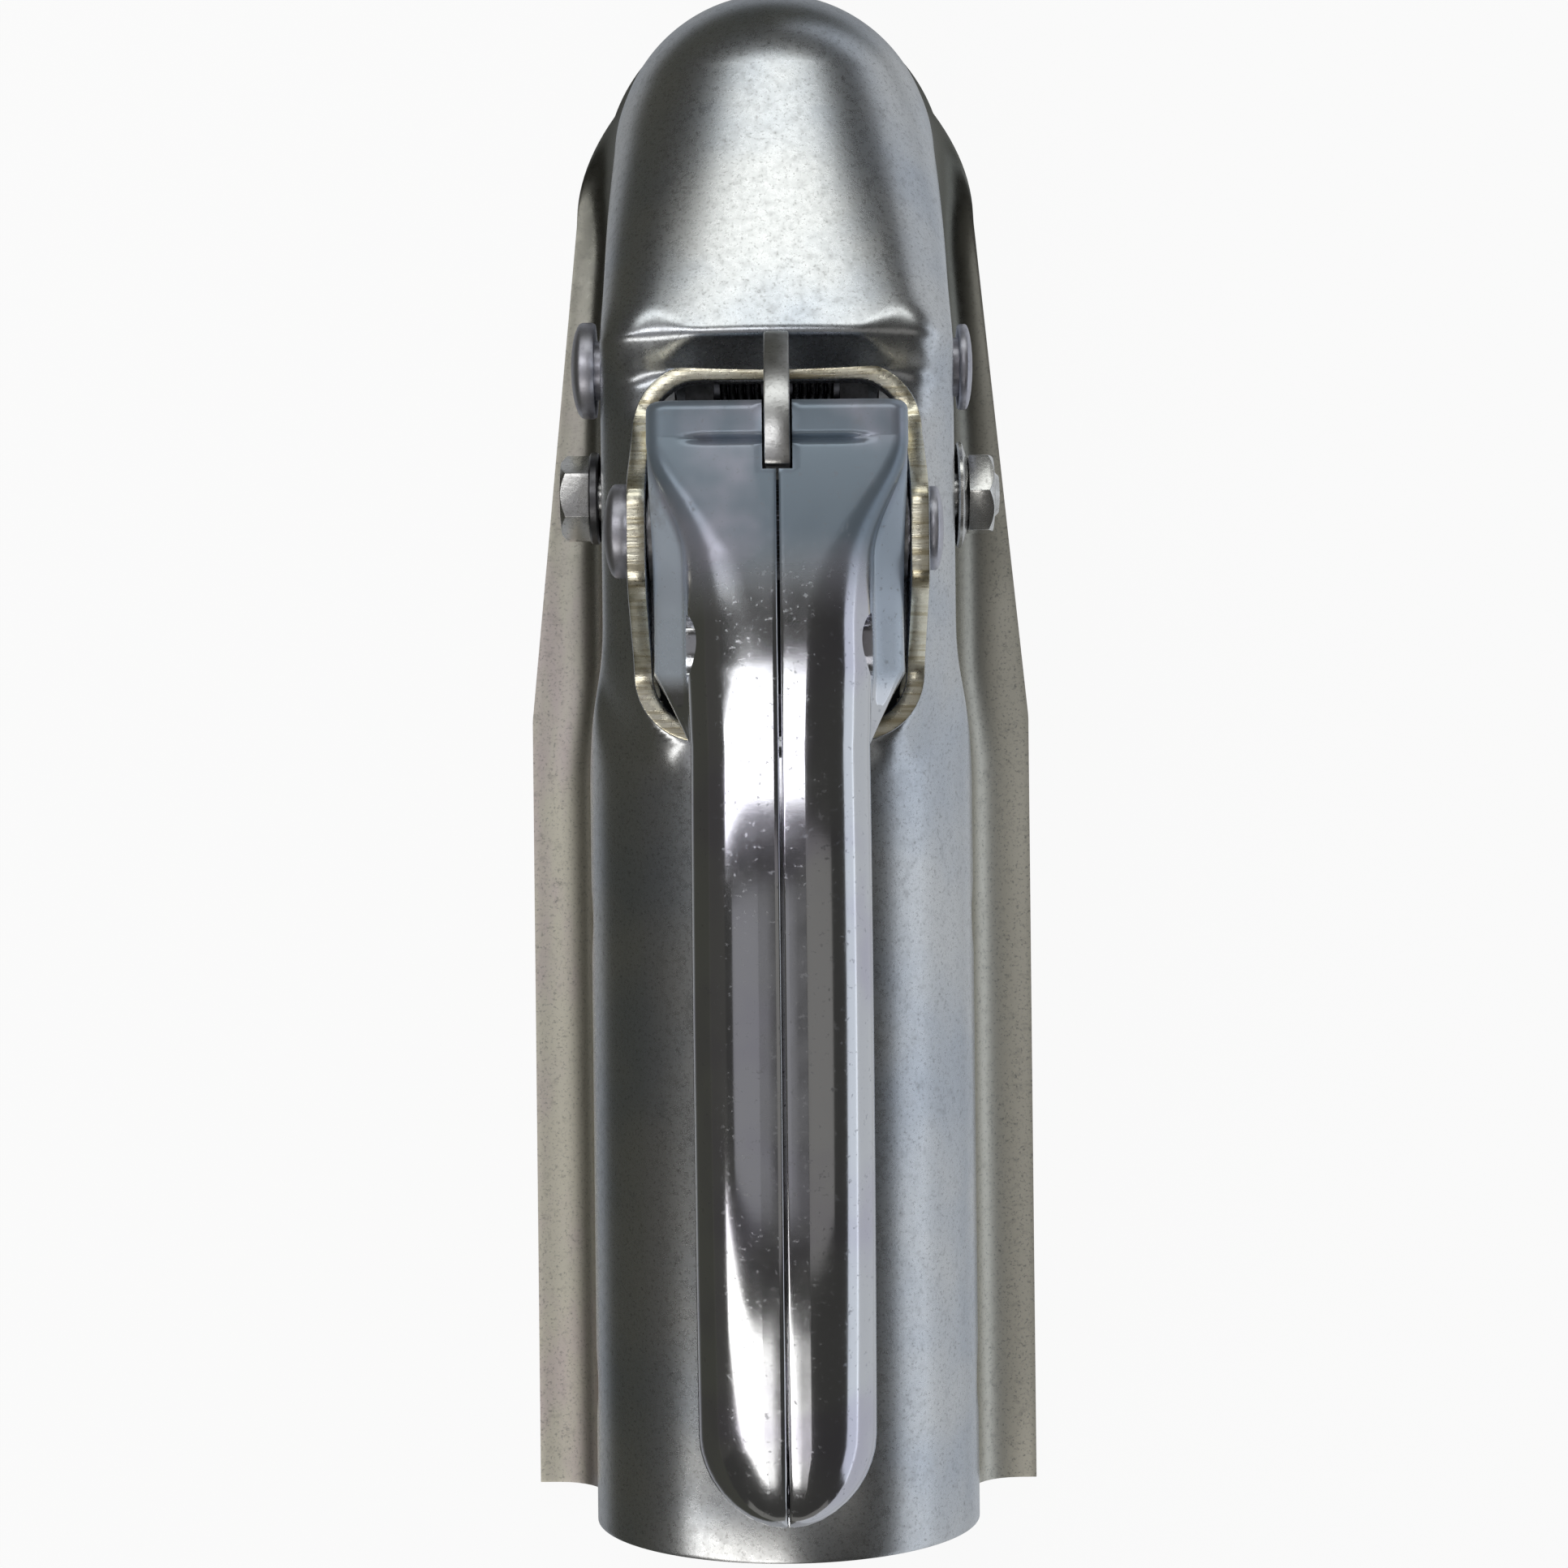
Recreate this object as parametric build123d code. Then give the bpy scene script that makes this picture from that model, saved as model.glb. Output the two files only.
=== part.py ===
from build123d import *
import os
from math import cos, sin, tan, pi, radians, sqrt

os.makedirs("parts", exist_ok=True)

# A pressed-steel coupling head for a 50 mm tow ball and a round drawbar tube.
# Millimetres. Origin at the ball centre, +Y forward in travel, +Z up, +X to the right side.

# Ball, tube and sheet
ball_d = 50.0
ball_gap = 0.15
tube_d = 60.0
tube_gap = 0.2
sheet = 3.0

# Housing, lengths behind the ball centre are given as distances
floor_depth = 15.0
hood_slope = 22.0
hood_width = 62.0
crease_back = 38.3
shoulder_r = 9.0
roof_join_angle = 5.0
box_end_back = 88.0
arch_start_back = 112.0
rear_back = 239.0
tube_axis_z = 12.0

# Lower flange
lip_reach = 2.85
skirt_back = 9.0
skirt_width = 72.4
flange_back = 100.0
flange_width = 90.6
flange_bend_r = 9.0
flange_angle = 90.0
lip_angle = 45.0
lip_lift = 0.4
bend_share = 0.8

# Roof opening and ears
rim_back = 45.4
opening_end_back = 102.0
opening_width = 41.6
opening_corner_r = 8.0
pocket_depth = 7.8
pocket_run = 7.1
rim_lip = 1.9
ear_top_z = 63.0
ear_top_len = 19.0
ear_front_run = 13.0
ear_rear_run = 12.0
ear_lead = 8.0
ear_corner_r = 6.4

# Pivots, behind and above the ball centre
jaw_pin_back = 40.7
jaw_pin_z = 20.0
stop_back = 61.8
stop_z = 12.0
handle_pin_back = 71.3
handle_pin_z = 54.0
pin_d = 10.0
run_gap = 0.05
side_gap = 0.35

# Rivet heads and bolt
rivet_head_d = 16.4
rivet_head_h = 4.2
rivet_tail_d = 14.6
rivet_tail_h = 2.5
handle_head_d = 15.0
handle_head_h = 4.0
handle_tail_d = 13.4
handle_tail_h = 2.6
bolt_d = 8.0
bolt_hole_gap = 0.2
bolt_hex = 13.0
bolt_head_h = 5.0
nut_h = 4.4
bolt_end = 1.0
washer_d = 16.0
washer_h = 1.6
dish_d = 18.4
dish_h = 1.0
dish_rise = 1.0
sleeve_d = 13.0

# Drawbar bolt holes
cross_hole_d = 12.5
cross_front_back = 135.0
cross_pitch = 80.0

# Handle
nose_back = 52.0
nose_top_z = 66.0
nose_lip = 9.0
nose_edge_r = 4.0
nose_flat = 9.0
cheek_low = 10.0
cheek_end_back = 92.0
grip_start_back = 106.0
grip_end_back = 226.5
grip_width = 27.6
grip_h = 17.0
grip_top_z = 85.0
grip_peak_back = 150.0
grip_crown_r = 10.5
grip_under_r = 4.0
top_edge_r = 5.0
handle_wall = 2.5
slot_width = 5.2
slot_end_back = 63.3
groove_back = 58.4
groove_r = 0.5
groove_len = 11.5
seam_width = 0.4
lock_hole_d = 10.8
lock_hole_back = 91.0
lock_hole_z = 68.0

# Jaw, arm, cam and springs
jaw_width = 34.0
jaw_low = 11.5
jaw_hub_r = 8.0
jaw_gap = 0.3
jaw_wall = 7.2
jaw_floor = 7.5
pocket_half = 10.7
heel_width = 4.8
heel_reach = 27.5
heel_h = 6.8
jaw_edge_r = 3.0
heel_edge_r = 1.5
arm_t = 4.0
arm_hub_r = 9.0
arm_key = 2.4
arm_proud = 0.4
cam_r = 27.2
cam_hub_r = 8.0
cam_slot = 6.0
lobe_front_angle = -78.0
lobe_rear_angle = -104.0
spacer_d = 14.0
wire_d = 2.0
coil_r = 7.1
coil_turns = 2
coil_gap = 0.06
spring_leg_angle = 210.0
hook_room = 1.5

# Values that follow from the above
cup_r = ball_d / 2 + ball_gap
dome_r = cup_r + sheet
lip_r = dome_r + lip_reach
arch_r = tube_d / 2 + tube_gap + sheet
slope = radians(hood_slope)
join_y = dome_r * sin(slope)
roof_z = dome_r / cos(slope) + crease_back * tan(slope)
rim_z = roof_z - pocket_depth
wall_x = hood_width / 2
ear_in = opening_width / 2
ear_out = ear_in + sheet
cheek_x = ear_in - side_gap
jaw_pin = (-jaw_pin_back, jaw_pin_z)
stop_pin = (-stop_back, stop_z)
handle_pin = (-handle_pin_back, handle_pin_z)


def blend(a, b, u):
    """Even change from a to b as u goes from 0 to 1."""
    return a + (b - a) * u


def ease(u):
    """Soft start and soft end between 0 and 1."""
    return u * u * (3 - 2 * u)


def side_view(*points):
    """Closed outline in the side view, points as (y, z)."""
    return make_face(Polyline(*[(0, y, z) for y, z in points], close=True))


def across(face, half):
    """Thickens a side view outline evenly to both sides."""
    return extrude(face, amount=half, dir=(1, 0, 0), both=True)


def between(face, x0, x1):
    """Thickens a side view outline from x0 to x1."""
    return extrude(Pos(x0, 0, 0) * face, amount=x1 - x0, dir=(1, 0, 0))


def rod(pin, d, x0, x1):
    """Round bar along X on a pivot line."""
    return Pos((x0 + x1) / 2, pin[0], pin[1]) * Rot(0, 90, 0) * Cylinder(d / 2, x1 - x0)


# Housing sections. Each is the sheet cut across at one place along the head: a crowned roof,
# two shoulders, two walls, and the bend and lip of the lower flange.

def lip_x(y):
    """Half width over the lower flange."""
    front = sqrt(lip_r ** 2 - join_y ** 2)
    if y > -skirt_back:
        u = (y + skirt_back) / (join_y + skirt_back)
        return blend(skirt_width / 2, front, u * u)
    u = min(1.0, (-y - skirt_back) / (flange_back - skirt_back))
    return blend(skirt_width / 2, flange_width / 2, u)


def front_share(y):
    """How much of the dome's lip is left in the flange at y, from 1 at the dome to 0."""
    return 1 - ease(min(1.0, (join_y - y) / (join_y + 2 * skirt_back)))


def hood_shape(y):
    """Half width, roof height, shoulder radius and roof join angle in front of the crease."""
    u = (join_y - y) / (join_y + crease_back)
    if y > 0:
        w = sqrt(dome_r ** 2 - y ** 2)
    else:
        w = blend(dome_r, wall_x, -y / crease_back)
    top = dome_r / cos(slope) - y * tan(slope)
    return w, top, blend(w, shoulder_r, u), blend(45.0, roof_join_angle, u)


def box_shape(y):
    """The same values behind the crease, up to the round channel."""
    u = (-y - box_end_back) / (arch_start_back - box_end_back)
    u = ease(max(0.0, min(1.0, u)))
    w = blend(wall_x, arch_r, u)
    top = blend(roof_z, tube_axis_z + arch_r, u)
    return w, top, blend(shoulder_r, arch_r, u), blend(roof_join_angle, 45.0, u)


def upper_line(y, shape, inset_x, inset_z, low_z):
    """Wall, shoulder, roof, shoulder and wall from right to left, as edges."""
    w, top, r, join = shape
    w, top, r = w - inset_x, top - inset_z, r - inset_x
    a = radians(join)
    crown = r + (w - r) / sin(a)
    cx = w - r
    cz = top - crown + (crown - r) * cos(a)
    m = radians(45 - join / 2)
    ex, ez = cx + r * sin(a), cz + r * cos(a)
    mx, mz = cx + r * cos(m), cz + r * sin(m)
    return [
        Line((w, y, low_z), (w, y, cz)),
        ThreePointArc((w, y, cz), (mx, y, mz), (ex, y, ez)),
        ThreePointArc((ex, y, ez), (0, y, top), (-ex, y, ez)),
        ThreePointArc((-ex, y, ez), (-mx, y, mz), (-w, y, cz)),
        Line((-w, y, cz), (-w, y, low_z)),
    ]


def lip_line(y, w, lean, rho, run, drop, low_z, s):
    """Bend and lip of the flange on one side (s = 1 right, -1 left), from the wall outwards."""
    cx = w + rho
    h = lean / 2
    bx, bz = cx - drop * cos(lean), low_z - drop * sin(lean)
    mx, mz = cx - drop * cos(h), low_z - drop * sin(h)
    tx, tz = bx + run * sin(lean), bz - run * cos(lean)
    sx = s * (cx - drop)
    bend = ThreePointArc((sx, y, low_z), (s * mx, y, mz), (s * bx, y, bz))
    return [bend, Line((s * bx, y, bz), (s * tx, y, tz))], (s * tx, y, tz)


def lip_bend(spread, share):
    """Lean from upright, bend radius, straight run and bend height of a lip that reaches out by spread."""
    lean = radians(blend(flange_angle, lip_angle, share))
    rho = min(flange_bend_r, bend_share * spread / (1 - cos(lean)))
    run = (spread - rho * (1 - cos(lean))) / sin(lean)
    low = -floor_depth + lip_lift * share
    return lean, rho, run, low + (rho + sheet) * sin(lean) + run * cos(lean)


def sheet_face(y, shape, inset_x, inset_z):
    """Cross-section of the pressed sheet at y."""
    w = shape[0]
    lean, rho, run, low_z = lip_bend(lip_x(y) - w, front_share(y))
    edges = upper_line(y, shape, 0, 0, low_z) + upper_line(y, shape, inset_x, inset_z, low_z)
    for s in (1, -1):
        out, tip = lip_line(y, w, lean, rho, run, rho, low_z, s)
        inn, low = lip_line(y, w, lean, rho, run, rho + inset_x, low_z, s)
        edges += out + inn + [Line(tip, low)]
    return make_face(Wire(edges))


def roof_face(y, shape, inset):
    """Filled cross-section under the roof, inset from the outside."""
    edges = upper_line(y, shape, inset, inset, -sheet)
    w = shape[0] - inset
    return make_face(Wire(edges + [Line((-w, y, -sheet), (w, y, -sheet))]))


# Stations along the hood, the straight box behind it and the neck up to the round channel
hood_ys = [blend(join_y, -crease_back, u / 6) for u in range(7)]
box_ys = [-crease_back, -box_end_back]
neck_ys = [blend(-box_end_back, -arch_start_back, u / 6) for u in range(7)]
roof_inset = sheet / cos(slope)


def hood_insets(y):
    """Sheet thickness measured across the section, more where the dome curves away."""
    if y <= 0:
        return sheet, roof_inset
    side = sqrt(dome_r ** 2 - y ** 2) - sqrt(cup_r ** 2 - y ** 2)
    return side, blend(roof_inset, side, y / join_y)


hood = loft([sheet_face(y, hood_shape(y), *hood_insets(y)) for y in hood_ys])
box = loft([sheet_face(y, box_shape(y), sheet, sheet) for y in box_ys], ruled=True)
neck = loft([sheet_face(y, box_shape(y), sheet, sheet) for y in neck_ys])
channel = extrude(
    sheet_face(-arch_start_back, box_shape(-arch_start_back), sheet, sheet),
    amount=rear_back - arch_start_back,
    dir=(0, -1, 0),
)

# Dome in front: the same wall and lip, turned about the ball axis
lean, lip_rho, lip_run, lip_z = lip_bend(lip_r - dome_r, 1.0)
dome_out, dome_tip = lip_line(0, dome_r, lean, lip_rho, lip_run, lip_rho, lip_z, 1)
dome_in, dome_low = lip_line(0, dome_r, lean, lip_rho, lip_run, lip_rho + sheet, lip_z, 1)
h = sin(radians(45))
dome_edges = dome_out + dome_in + [
    Line(dome_tip, dome_low),
    Line((dome_r, 0, lip_z), (dome_r, 0, 0)),
    Line((cup_r, 0, lip_z), (cup_r, 0, 0)),
    ThreePointArc((dome_r, 0, 0), (dome_r * h, 0, dome_r * h), (0, 0, dome_r)),
    ThreePointArc((cup_r, 0, 0), (cup_r * h, 0, cup_r * h), (0, 0, cup_r)),
    Line((0, 0, dome_r), (0, 0, cup_r)),
]
dome = revolve(make_face(Wire(dome_edges)), Axis.Z)
front_half = Pos(0, join_y + 2 * dome_r, 0) * Box(6 * dome_r, 4 * dome_r, 6 * dome_r)
housing = hood + (dome & front_half) + box + neck + channel


# Roof opening: a sloped pocket pressed into the roof, with an upturned rim that grows into the ears
def opening(grow):
    """Plan outline of the roof opening, grown outwards evenly."""
    length = opening_end_back - rim_back
    plan = RectangleRounded(
        opening_width + 2 * grow, length + 2 * grow, opening_corner_r + grow
    )
    return Pos(0, -rim_back - length / 2, 0) * plan


wall_lean = pocket_run / pocket_depth
pocket_taper = -Vector(1, 0, 0).get_angle(Vector(1, wall_lean, 0))
thick_run = sheet * sqrt(1 + wall_lean ** 2)
tall = 3 * pocket_depth
pocket = extrude(Pos(0, 0, rim_z) * opening(0), amount=tall, taper=pocket_taper)
pan = extrude(
    Pos(0, 0, rim_z - sheet) * opening(thick_run - sheet * wall_lean),
    amount=tall,
    taper=pocket_taper,
)
under_hood = loft([roof_face(y, hood_shape(y), sheet / 2) for y in hood_ys])
under_box = loft([roof_face(y, box_shape(y), sheet / 2) for y in box_ys], ruled=True)
under_neck = loft([roof_face(y, box_shape(y), sheet / 2) for y in neck_ys])
pan = (pan - pocket) & (under_hood + under_box + under_neck)
hole = extrude(Pos(0, 0, 0) * opening(0), amount=3 * roof_z)
housing = housing - pocket + pan - hole

collar = extrude(Pos(0, 0, rim_z - sheet) * (opening(sheet) - opening(0)), amount=ear_top_z)
ear_front = -handle_pin_back + ear_lead
ear_rear = ear_front - ear_top_len
low_lip = rim_z + rim_lip
ear_line = side_view(
    (0, rim_z - 2 * sheet),
    (0, low_lip),
    (ear_front + ear_front_run, low_lip),
    (ear_front, ear_top_z),
    (ear_rear, ear_top_z),
    (ear_rear - ear_rear_run, low_lip + sheet),
    (-arch_start_back, low_lip + sheet),
    (-arch_start_back, rim_z - 2 * sheet),
)
ear_corners = [v for v in ear_line.vertices() if -arch_start_back + 1 < v.Y < -1]
ear_line = fillet(ear_corners, ear_corner_r)
housing = housing + (collar & across(ear_line, hood_width))

# Holes through the walls and ears
housing -= rod(jaw_pin, pin_d, -hood_width, hood_width)
housing -= rod(stop_pin, bolt_d + 2 * bolt_hole_gap, -hood_width, hood_width)
housing -= rod(handle_pin, pin_d, -hood_width, hood_width)
for k in (0, 1):
    at = (-cross_front_back - k * cross_pitch, tube_axis_z)
    housing -= rod(at, cross_hole_d, -hood_width, hood_width)
export_step(housing, "parts/housing.step")


# Handle: one folded sheet. The nose and cheeks are open below, the grip is a closed hollow.

def handle_top(y):
    """Height of the handle's top line, a flat bow that is highest over the grip."""
    bow = (grip_top_z - nose_top_z) / (grip_peak_back - nose_back) ** 2
    return grip_top_z - bow * (y + grip_peak_back) ** 2


def ring_face(y, top, low, top_x, low_x, top_r, low_r):
    """Four-sided outline at y with rounded corners."""
    outline = Polyline(
        (-top_x, y, top), (top_x, y, top), (low_x, y, low), (-low_x, y, low), close=True
    )
    face = make_face(outline)
    mid = (top + low) / 2
    face = fillet([v for v in face.vertices() if v.Z > mid], top_r)
    return fillet([v for v in face.vertices() if v.Z < low + 0.001], low_r)


def handle_face(y, inset):
    """Section of the handle at y. With an inset it is the hollow inside the sheet."""
    top = handle_top(y) - inset
    narrow = ease(max(0.0, min(1.0, (-y - nose_back - nose_flat) / nose_flat)))
    top_x = blend(cheek_x, grip_width / 2, narrow) - inset
    u = max(0.0, min(1.0, (-y - cheek_end_back) / (grip_start_back - cheek_end_back)))
    low_x = blend(cheek_x, grip_width / 2, u) - inset
    open_low = handle_pin_z - cheek_low - 2 * inset
    low = blend(open_low, handle_top(y) - grip_h + inset, u)
    top_r = blend(top_edge_r, grip_crown_r, u) - inset
    return ring_face(y, top, low, top_x, low_x, top_r, blend(1.0, grip_under_r - inset, u))


def tip_face(angle, inset):
    """Section of the rounded end, closing in as the angle goes towards 90 degrees."""
    a = radians(angle)
    reach = grip_width / 2 - inset
    y = -grip_end_back + grip_width / 2 - reach * sin(a)
    half = reach * cos(a)
    shrink = 0.5 * (reach - half)
    top = handle_top(y) - inset - 0.6 * shrink
    low = handle_top(y) - grip_h + inset + 0.6 * shrink
    top_r = min(grip_crown_r - inset, 0.8 * half)
    low_r = min(grip_under_r - inset, 0.3 * half)
    return ring_face(y, top, low, half, half, top_r, low_r)


nose_end = -nose_back - nose_flat
cheek_ys = [blend(nose_end, -cheek_end_back, u / 5) for u in range(6)]
grip_stop = -grip_end_back + grip_width / 2
grip_ys = [blend(-grip_start_back, grip_stop, u / 4) for u in range(5)]
tip_angles = [0, 20, 40, 60, 78]


def handle_form(inset):
    """Filled handle, or its inside when inset."""
    nose = loft([handle_face(-nose_back - inset, inset), handle_face(nose_end, inset)], ruled=True)
    cheeks = loft([handle_face(y, inset) for y in cheek_ys])
    turn_ys = (-cheek_end_back, -grip_start_back)
    turn = loft([handle_face(y, inset) for y in turn_ys], ruled=True)
    grip = loft([handle_face(y, inset) for y in grip_ys])
    tip = loft([tip_face(t, inset) for t in tip_angles])
    return nose, cheeks + turn + grip + tip


nose, rest = handle_form(0)
nose_front = nose.faces().sort_by(Axis.Y)[-1]
nose_edges = [e for e in nose_front.edges() if e.center().Z > handle_pin_z - cheek_low + 0.5]
nose = fillet(nose_edges, nose_edge_r)
inside_nose, inside_rest = handle_form(handle_wall)
handle = nose + rest - (inside_nose + inside_rest)
handle -= across(
    side_view(
        (0, nose_top_z - nose_lip),
        (-nose_back - handle_wall, nose_top_z - nose_lip),
        (nose_end, handle_pin_z - cheek_low),
        (nose_end, 0),
        (0, 0),
    ),
    hood_width,
)
slot_len = slot_end_back - nose_back + nose_flat
slot_at = Pos(0, -slot_end_back + slot_len / 2, grip_top_z)
handle -= slot_at * Box(slot_width, slot_len, 2 * (grip_top_z - nose_top_z + nose_lip))
seam_mid = (-slot_end_back - grip_end_back - grip_width) / 2
seam_len = grip_end_back + grip_width - slot_end_back
seam_low = handle_top(-grip_end_back) - grip_h / 2
handle -= Pos(0, seam_mid, seam_low + grip_h) * Box(seam_width, seam_len, 2 * grip_h)
groove = (-groove_back, handle_top(-groove_back))
for s in (1, -1):
    x0 = s * slot_width / 2
    x1 = x0 + s * groove_len
    handle -= rod(groove, 2 * groove_r, min(x0, x1), max(x0, x1))
handle -= rod((-lock_hole_back, lock_hole_z), lock_hole_d, -hood_width, hood_width)
handle -= rod(handle_pin, 2 * cam_hub_r, -hood_width, hood_width)
export_step(handle, "parts/handle.step")

# Cam: a bush through both cheeks with two lobes that stand over the jaw's heels
cam_bush = rod(handle_pin, 2 * cam_hub_r, -cheek_x, cheek_x)
py, pz = handle_pin


def cam_point(r, angle):
    """Point of the cam outline at a radius and angle about the handle pivot."""
    return (0, py + r * cos(radians(angle)), pz + r * sin(radians(angle)))


lobe_middle = (lobe_front_angle + lobe_rear_angle) / 2
lobe_front = cam_point(cam_r, lobe_front_angle)
lobe_rear = cam_point(cam_r, lobe_rear_angle)
lobe = make_face(
    Wire(
        [
            ThreePointArc(lobe_rear, cam_point(cam_r, lobe_middle), lobe_front),
            Line(lobe_front, cam_point(cam_hub_r, 0)),
            ThreePointArc(
                cam_point(cam_hub_r, 0), cam_point(cam_hub_r, 90), cam_point(cam_hub_r, 180)
            ),
            Line(cam_point(cam_hub_r, 180), lobe_rear),
        ]
    )
)
lobe_end = pocket_half + heel_width
cam = cam_bush
for s in (1, -1):
    x0 = s * cam_slot / 2
    x1 = s * lobe_end
    cam += between(lobe, min(x0, x1), max(x0, x1))
cam -= rod(handle_pin, pin_d + 2 * run_gap, -hood_width, hood_width)
export_step(cam, "parts/handle_cam.step")


# Rivets: a shank, a domed head on the left and a closed-over tail on the right
def cap_line(x, r, rise):
    """Arc of a round cap, from its rim at radius r to its top on the axis (rise may be negative)."""
    ball = (r * r + rise * rise) / (2 * abs(rise))
    half_x = ball - sqrt(ball * ball - r * r / 4)
    grow = rise / abs(rise)
    return ThreePointArc((x, r, 0), (x + rise - grow * half_x, r / 2, 0), (x + rise, 0, 0))


def rivet(pin, half, head_d, head_h, tail_d, tail_h):
    """Turned rivet across the head, half is the distance from the middle to the outer face."""
    rim_x = -half - head_h / 2
    edge_x = half + tail_h / 2
    edges = Polyline(
        (rim_x, head_d / 2, 0),
        (-half, head_d / 2, 0),
        (-half, pin_d / 2, 0),
        (half, pin_d / 2, 0),
        (half, tail_d / 2, 0),
        (edge_x, tail_d / 2, 0),
    ).edges()
    caps = [cap_line(rim_x, head_d / 2, -head_h / 2), cap_line(edge_x, tail_d / 2, tail_h / 2)]
    axis = Line((-half - head_h, 0, 0), (half + tail_h, 0, 0))
    return Pos(0, pin[0], pin[1]) * revolve(make_face([*edges, *caps, axis]), Axis.X)


jaw_rivet = rivet(jaw_pin, wall_x, rivet_head_d, rivet_head_h, rivet_tail_d, rivet_tail_h)
export_step(jaw_rivet, "parts/jaw_rivet.step")
handle_rivet = rivet(
    handle_pin, ear_out, handle_head_d, handle_head_h, handle_tail_d, handle_tail_h
)
export_step(handle_rivet, "parts/handle_rivet.step")

# Ball jaw: gripping wall cut to the ball, two lugs on the rivet, two heels behind
jy, jz = jaw_pin
sy, sz = stop_pin
ball_back = ball_d / 2 + jaw_gap
jaw_side = side_view(
    (-ball_back * 0.6, -jaw_low),
    (-ball_back - jaw_hub_r, -jaw_low),
    (jy - jaw_hub_r, jz - jaw_hub_r),
    (jy - jaw_hub_r, jz),
    (jy + jaw_hub_r, jz),
    (-ball_back * 0.6, jaw_low),
)
jaw_side = fillet(jaw_side.vertices().sort_by(Axis.Z)[:2], jaw_edge_r)
jaw = across(jaw_side, jaw_width / 2) + rod(jaw_pin, 2 * jaw_hub_r, -jaw_width / 2, jaw_width / 2)
heel_low = sz + sleeve_d / 2 + side_gap
heel = side_view(
    (jy, jz + jaw_hub_r),
    (jy - heel_reach * 0.6, heel_low + heel_h),
    (jy - heel_reach, heel_low + heel_h),
    (jy - heel_reach, heel_low + side_gap),
    (sy + sleeve_d / 2, heel_low + side_gap),
    (jy - jaw_hub_r, jz - jaw_hub_r),
    (jy, jz - jaw_hub_r),
)
heel = fillet(heel.vertices().sort_by(Axis.Y)[:2], heel_edge_r)
for s in (1, -1):
    x0 = s * pocket_half
    x1 = s * lobe_end
    jaw += between(heel, min(x0, x1), max(x0, x1))
pocket_front = -ball_back - jaw_wall
pocket_size = 4 * heel_reach
pocket_mid = Pos(0, pocket_front - pocket_size / 2, -jaw_low + jaw_floor + pocket_size / 2)
jaw -= pocket_mid * Box(2 * pocket_half, pocket_size, pocket_size)
jaw -= rod(jaw_pin, 2 * (coil_r + wire_d), -pocket_half, pocket_half)
key_mid = Pos(0, pocket_front, -jaw_low + jaw_floor + pocket_size / 2)
jaw -= key_mid * Box(arm_t, 2 * arm_key, pocket_size)
jaw -= Sphere(ball_back)
jaw -= rod(jaw_pin, pin_d + 2 * run_gap, -hood_width, hood_width)
export_step(jaw, "parts/ball_jaw.step")

# Arm: the plate on the middle line. It is keyed into the jaw below and lies in the nose slot above.
tip_y = -slot_end_back + 2 * side_gap
tip_z = handle_top(tip_y)
neck_y = -nose_back - 3 * side_gap
arm_low = -jaw_low + jaw_floor + side_gap
arm_front = Polyline(
    (0, pocket_front + arm_key, arm_low),
    (0, pocket_front + arm_key, jz - arm_hub_r),
    (0, jy + arm_hub_r, jz),
    (0, jy + arm_hub_r * 0.5, jz + arm_hub_r * 0.85),
    (0, jy - arm_hub_r * 0.3, jz + arm_hub_r * 0.95),
    (0, neck_y, rim_z - arm_hub_r * 0.8),
    (0, neck_y, roof_z + sheet),
    (0, jy + sheet * 0.5, roof_z + sheet),
)
arm_crown = ThreePointArc(
    (0, jy + sheet * 0.5, roof_z + sheet),
    (0, blend(jy, tip_y, 0.3), blend(roof_z, tip_z, 0.85)),
    (0, tip_y, tip_z + arm_proud),
)
arm_rear = Polyline(
    (0, tip_y, tip_z + arm_proud),
    (0, tip_y, tip_z - 1.6 * handle_wall),
    (0, neck_y - arm_hub_r * 0.7, tip_z - 3 * handle_wall),
    (0, neck_y - arm_hub_r * 0.7, jz + arm_hub_r),
    (0, jy - arm_hub_r, jz - arm_hub_r * 0.3),
    (0, jy - arm_hub_r * 0.4, arm_low),
    (0, pocket_front + arm_key, arm_low),
)
arm_outline = make_face([*arm_front.edges(), arm_crown, *arm_rear.edges()])
arm = across(arm_outline, arm_t / 2)
arm -= rod(jaw_pin, pin_d + 2 * run_gap, -hood_width, hood_width)
export_step(arm, "parts/jaw_arm.step")


# Tubes on the pivots
def tube(pin, d, bore, x0, x1):
    """Plain tube along X."""
    return rod(pin, d, x0, x1) - rod(pin, bore, x0 - 1, x1 + 1)


inner_x = wall_x - sheet
spacer_in = jaw_width / 2 + side_gap
spacer_bore = pin_d + 2 * run_gap
spacer_out = inner_x - 2 * side_gap
left_spacer = tube(jaw_pin, spacer_d, spacer_bore, -spacer_out, -spacer_in)
export_step(left_spacer, "parts/jaw_spacer_left.step")
right_spacer = tube(jaw_pin, spacer_d, spacer_bore, spacer_in, spacer_out)
export_step(right_spacer, "parts/jaw_spacer_right.step")
bolt_bore = bolt_d + 2 * bolt_hole_gap
export_step(tube(stop_pin, sleeve_d, bolt_bore, -inner_x, inner_x), "parts/stop_sleeve.step")


# Springs: a coil beside the arm, one leg down into the jaw, one leg hooked under the stop sleeve
def acos_deg(c):
    """Angle in degrees whose cosine is c."""
    return Vector(1, 0, 0).get_angle(Vector(c, sqrt(1 - c * c), 0))


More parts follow.
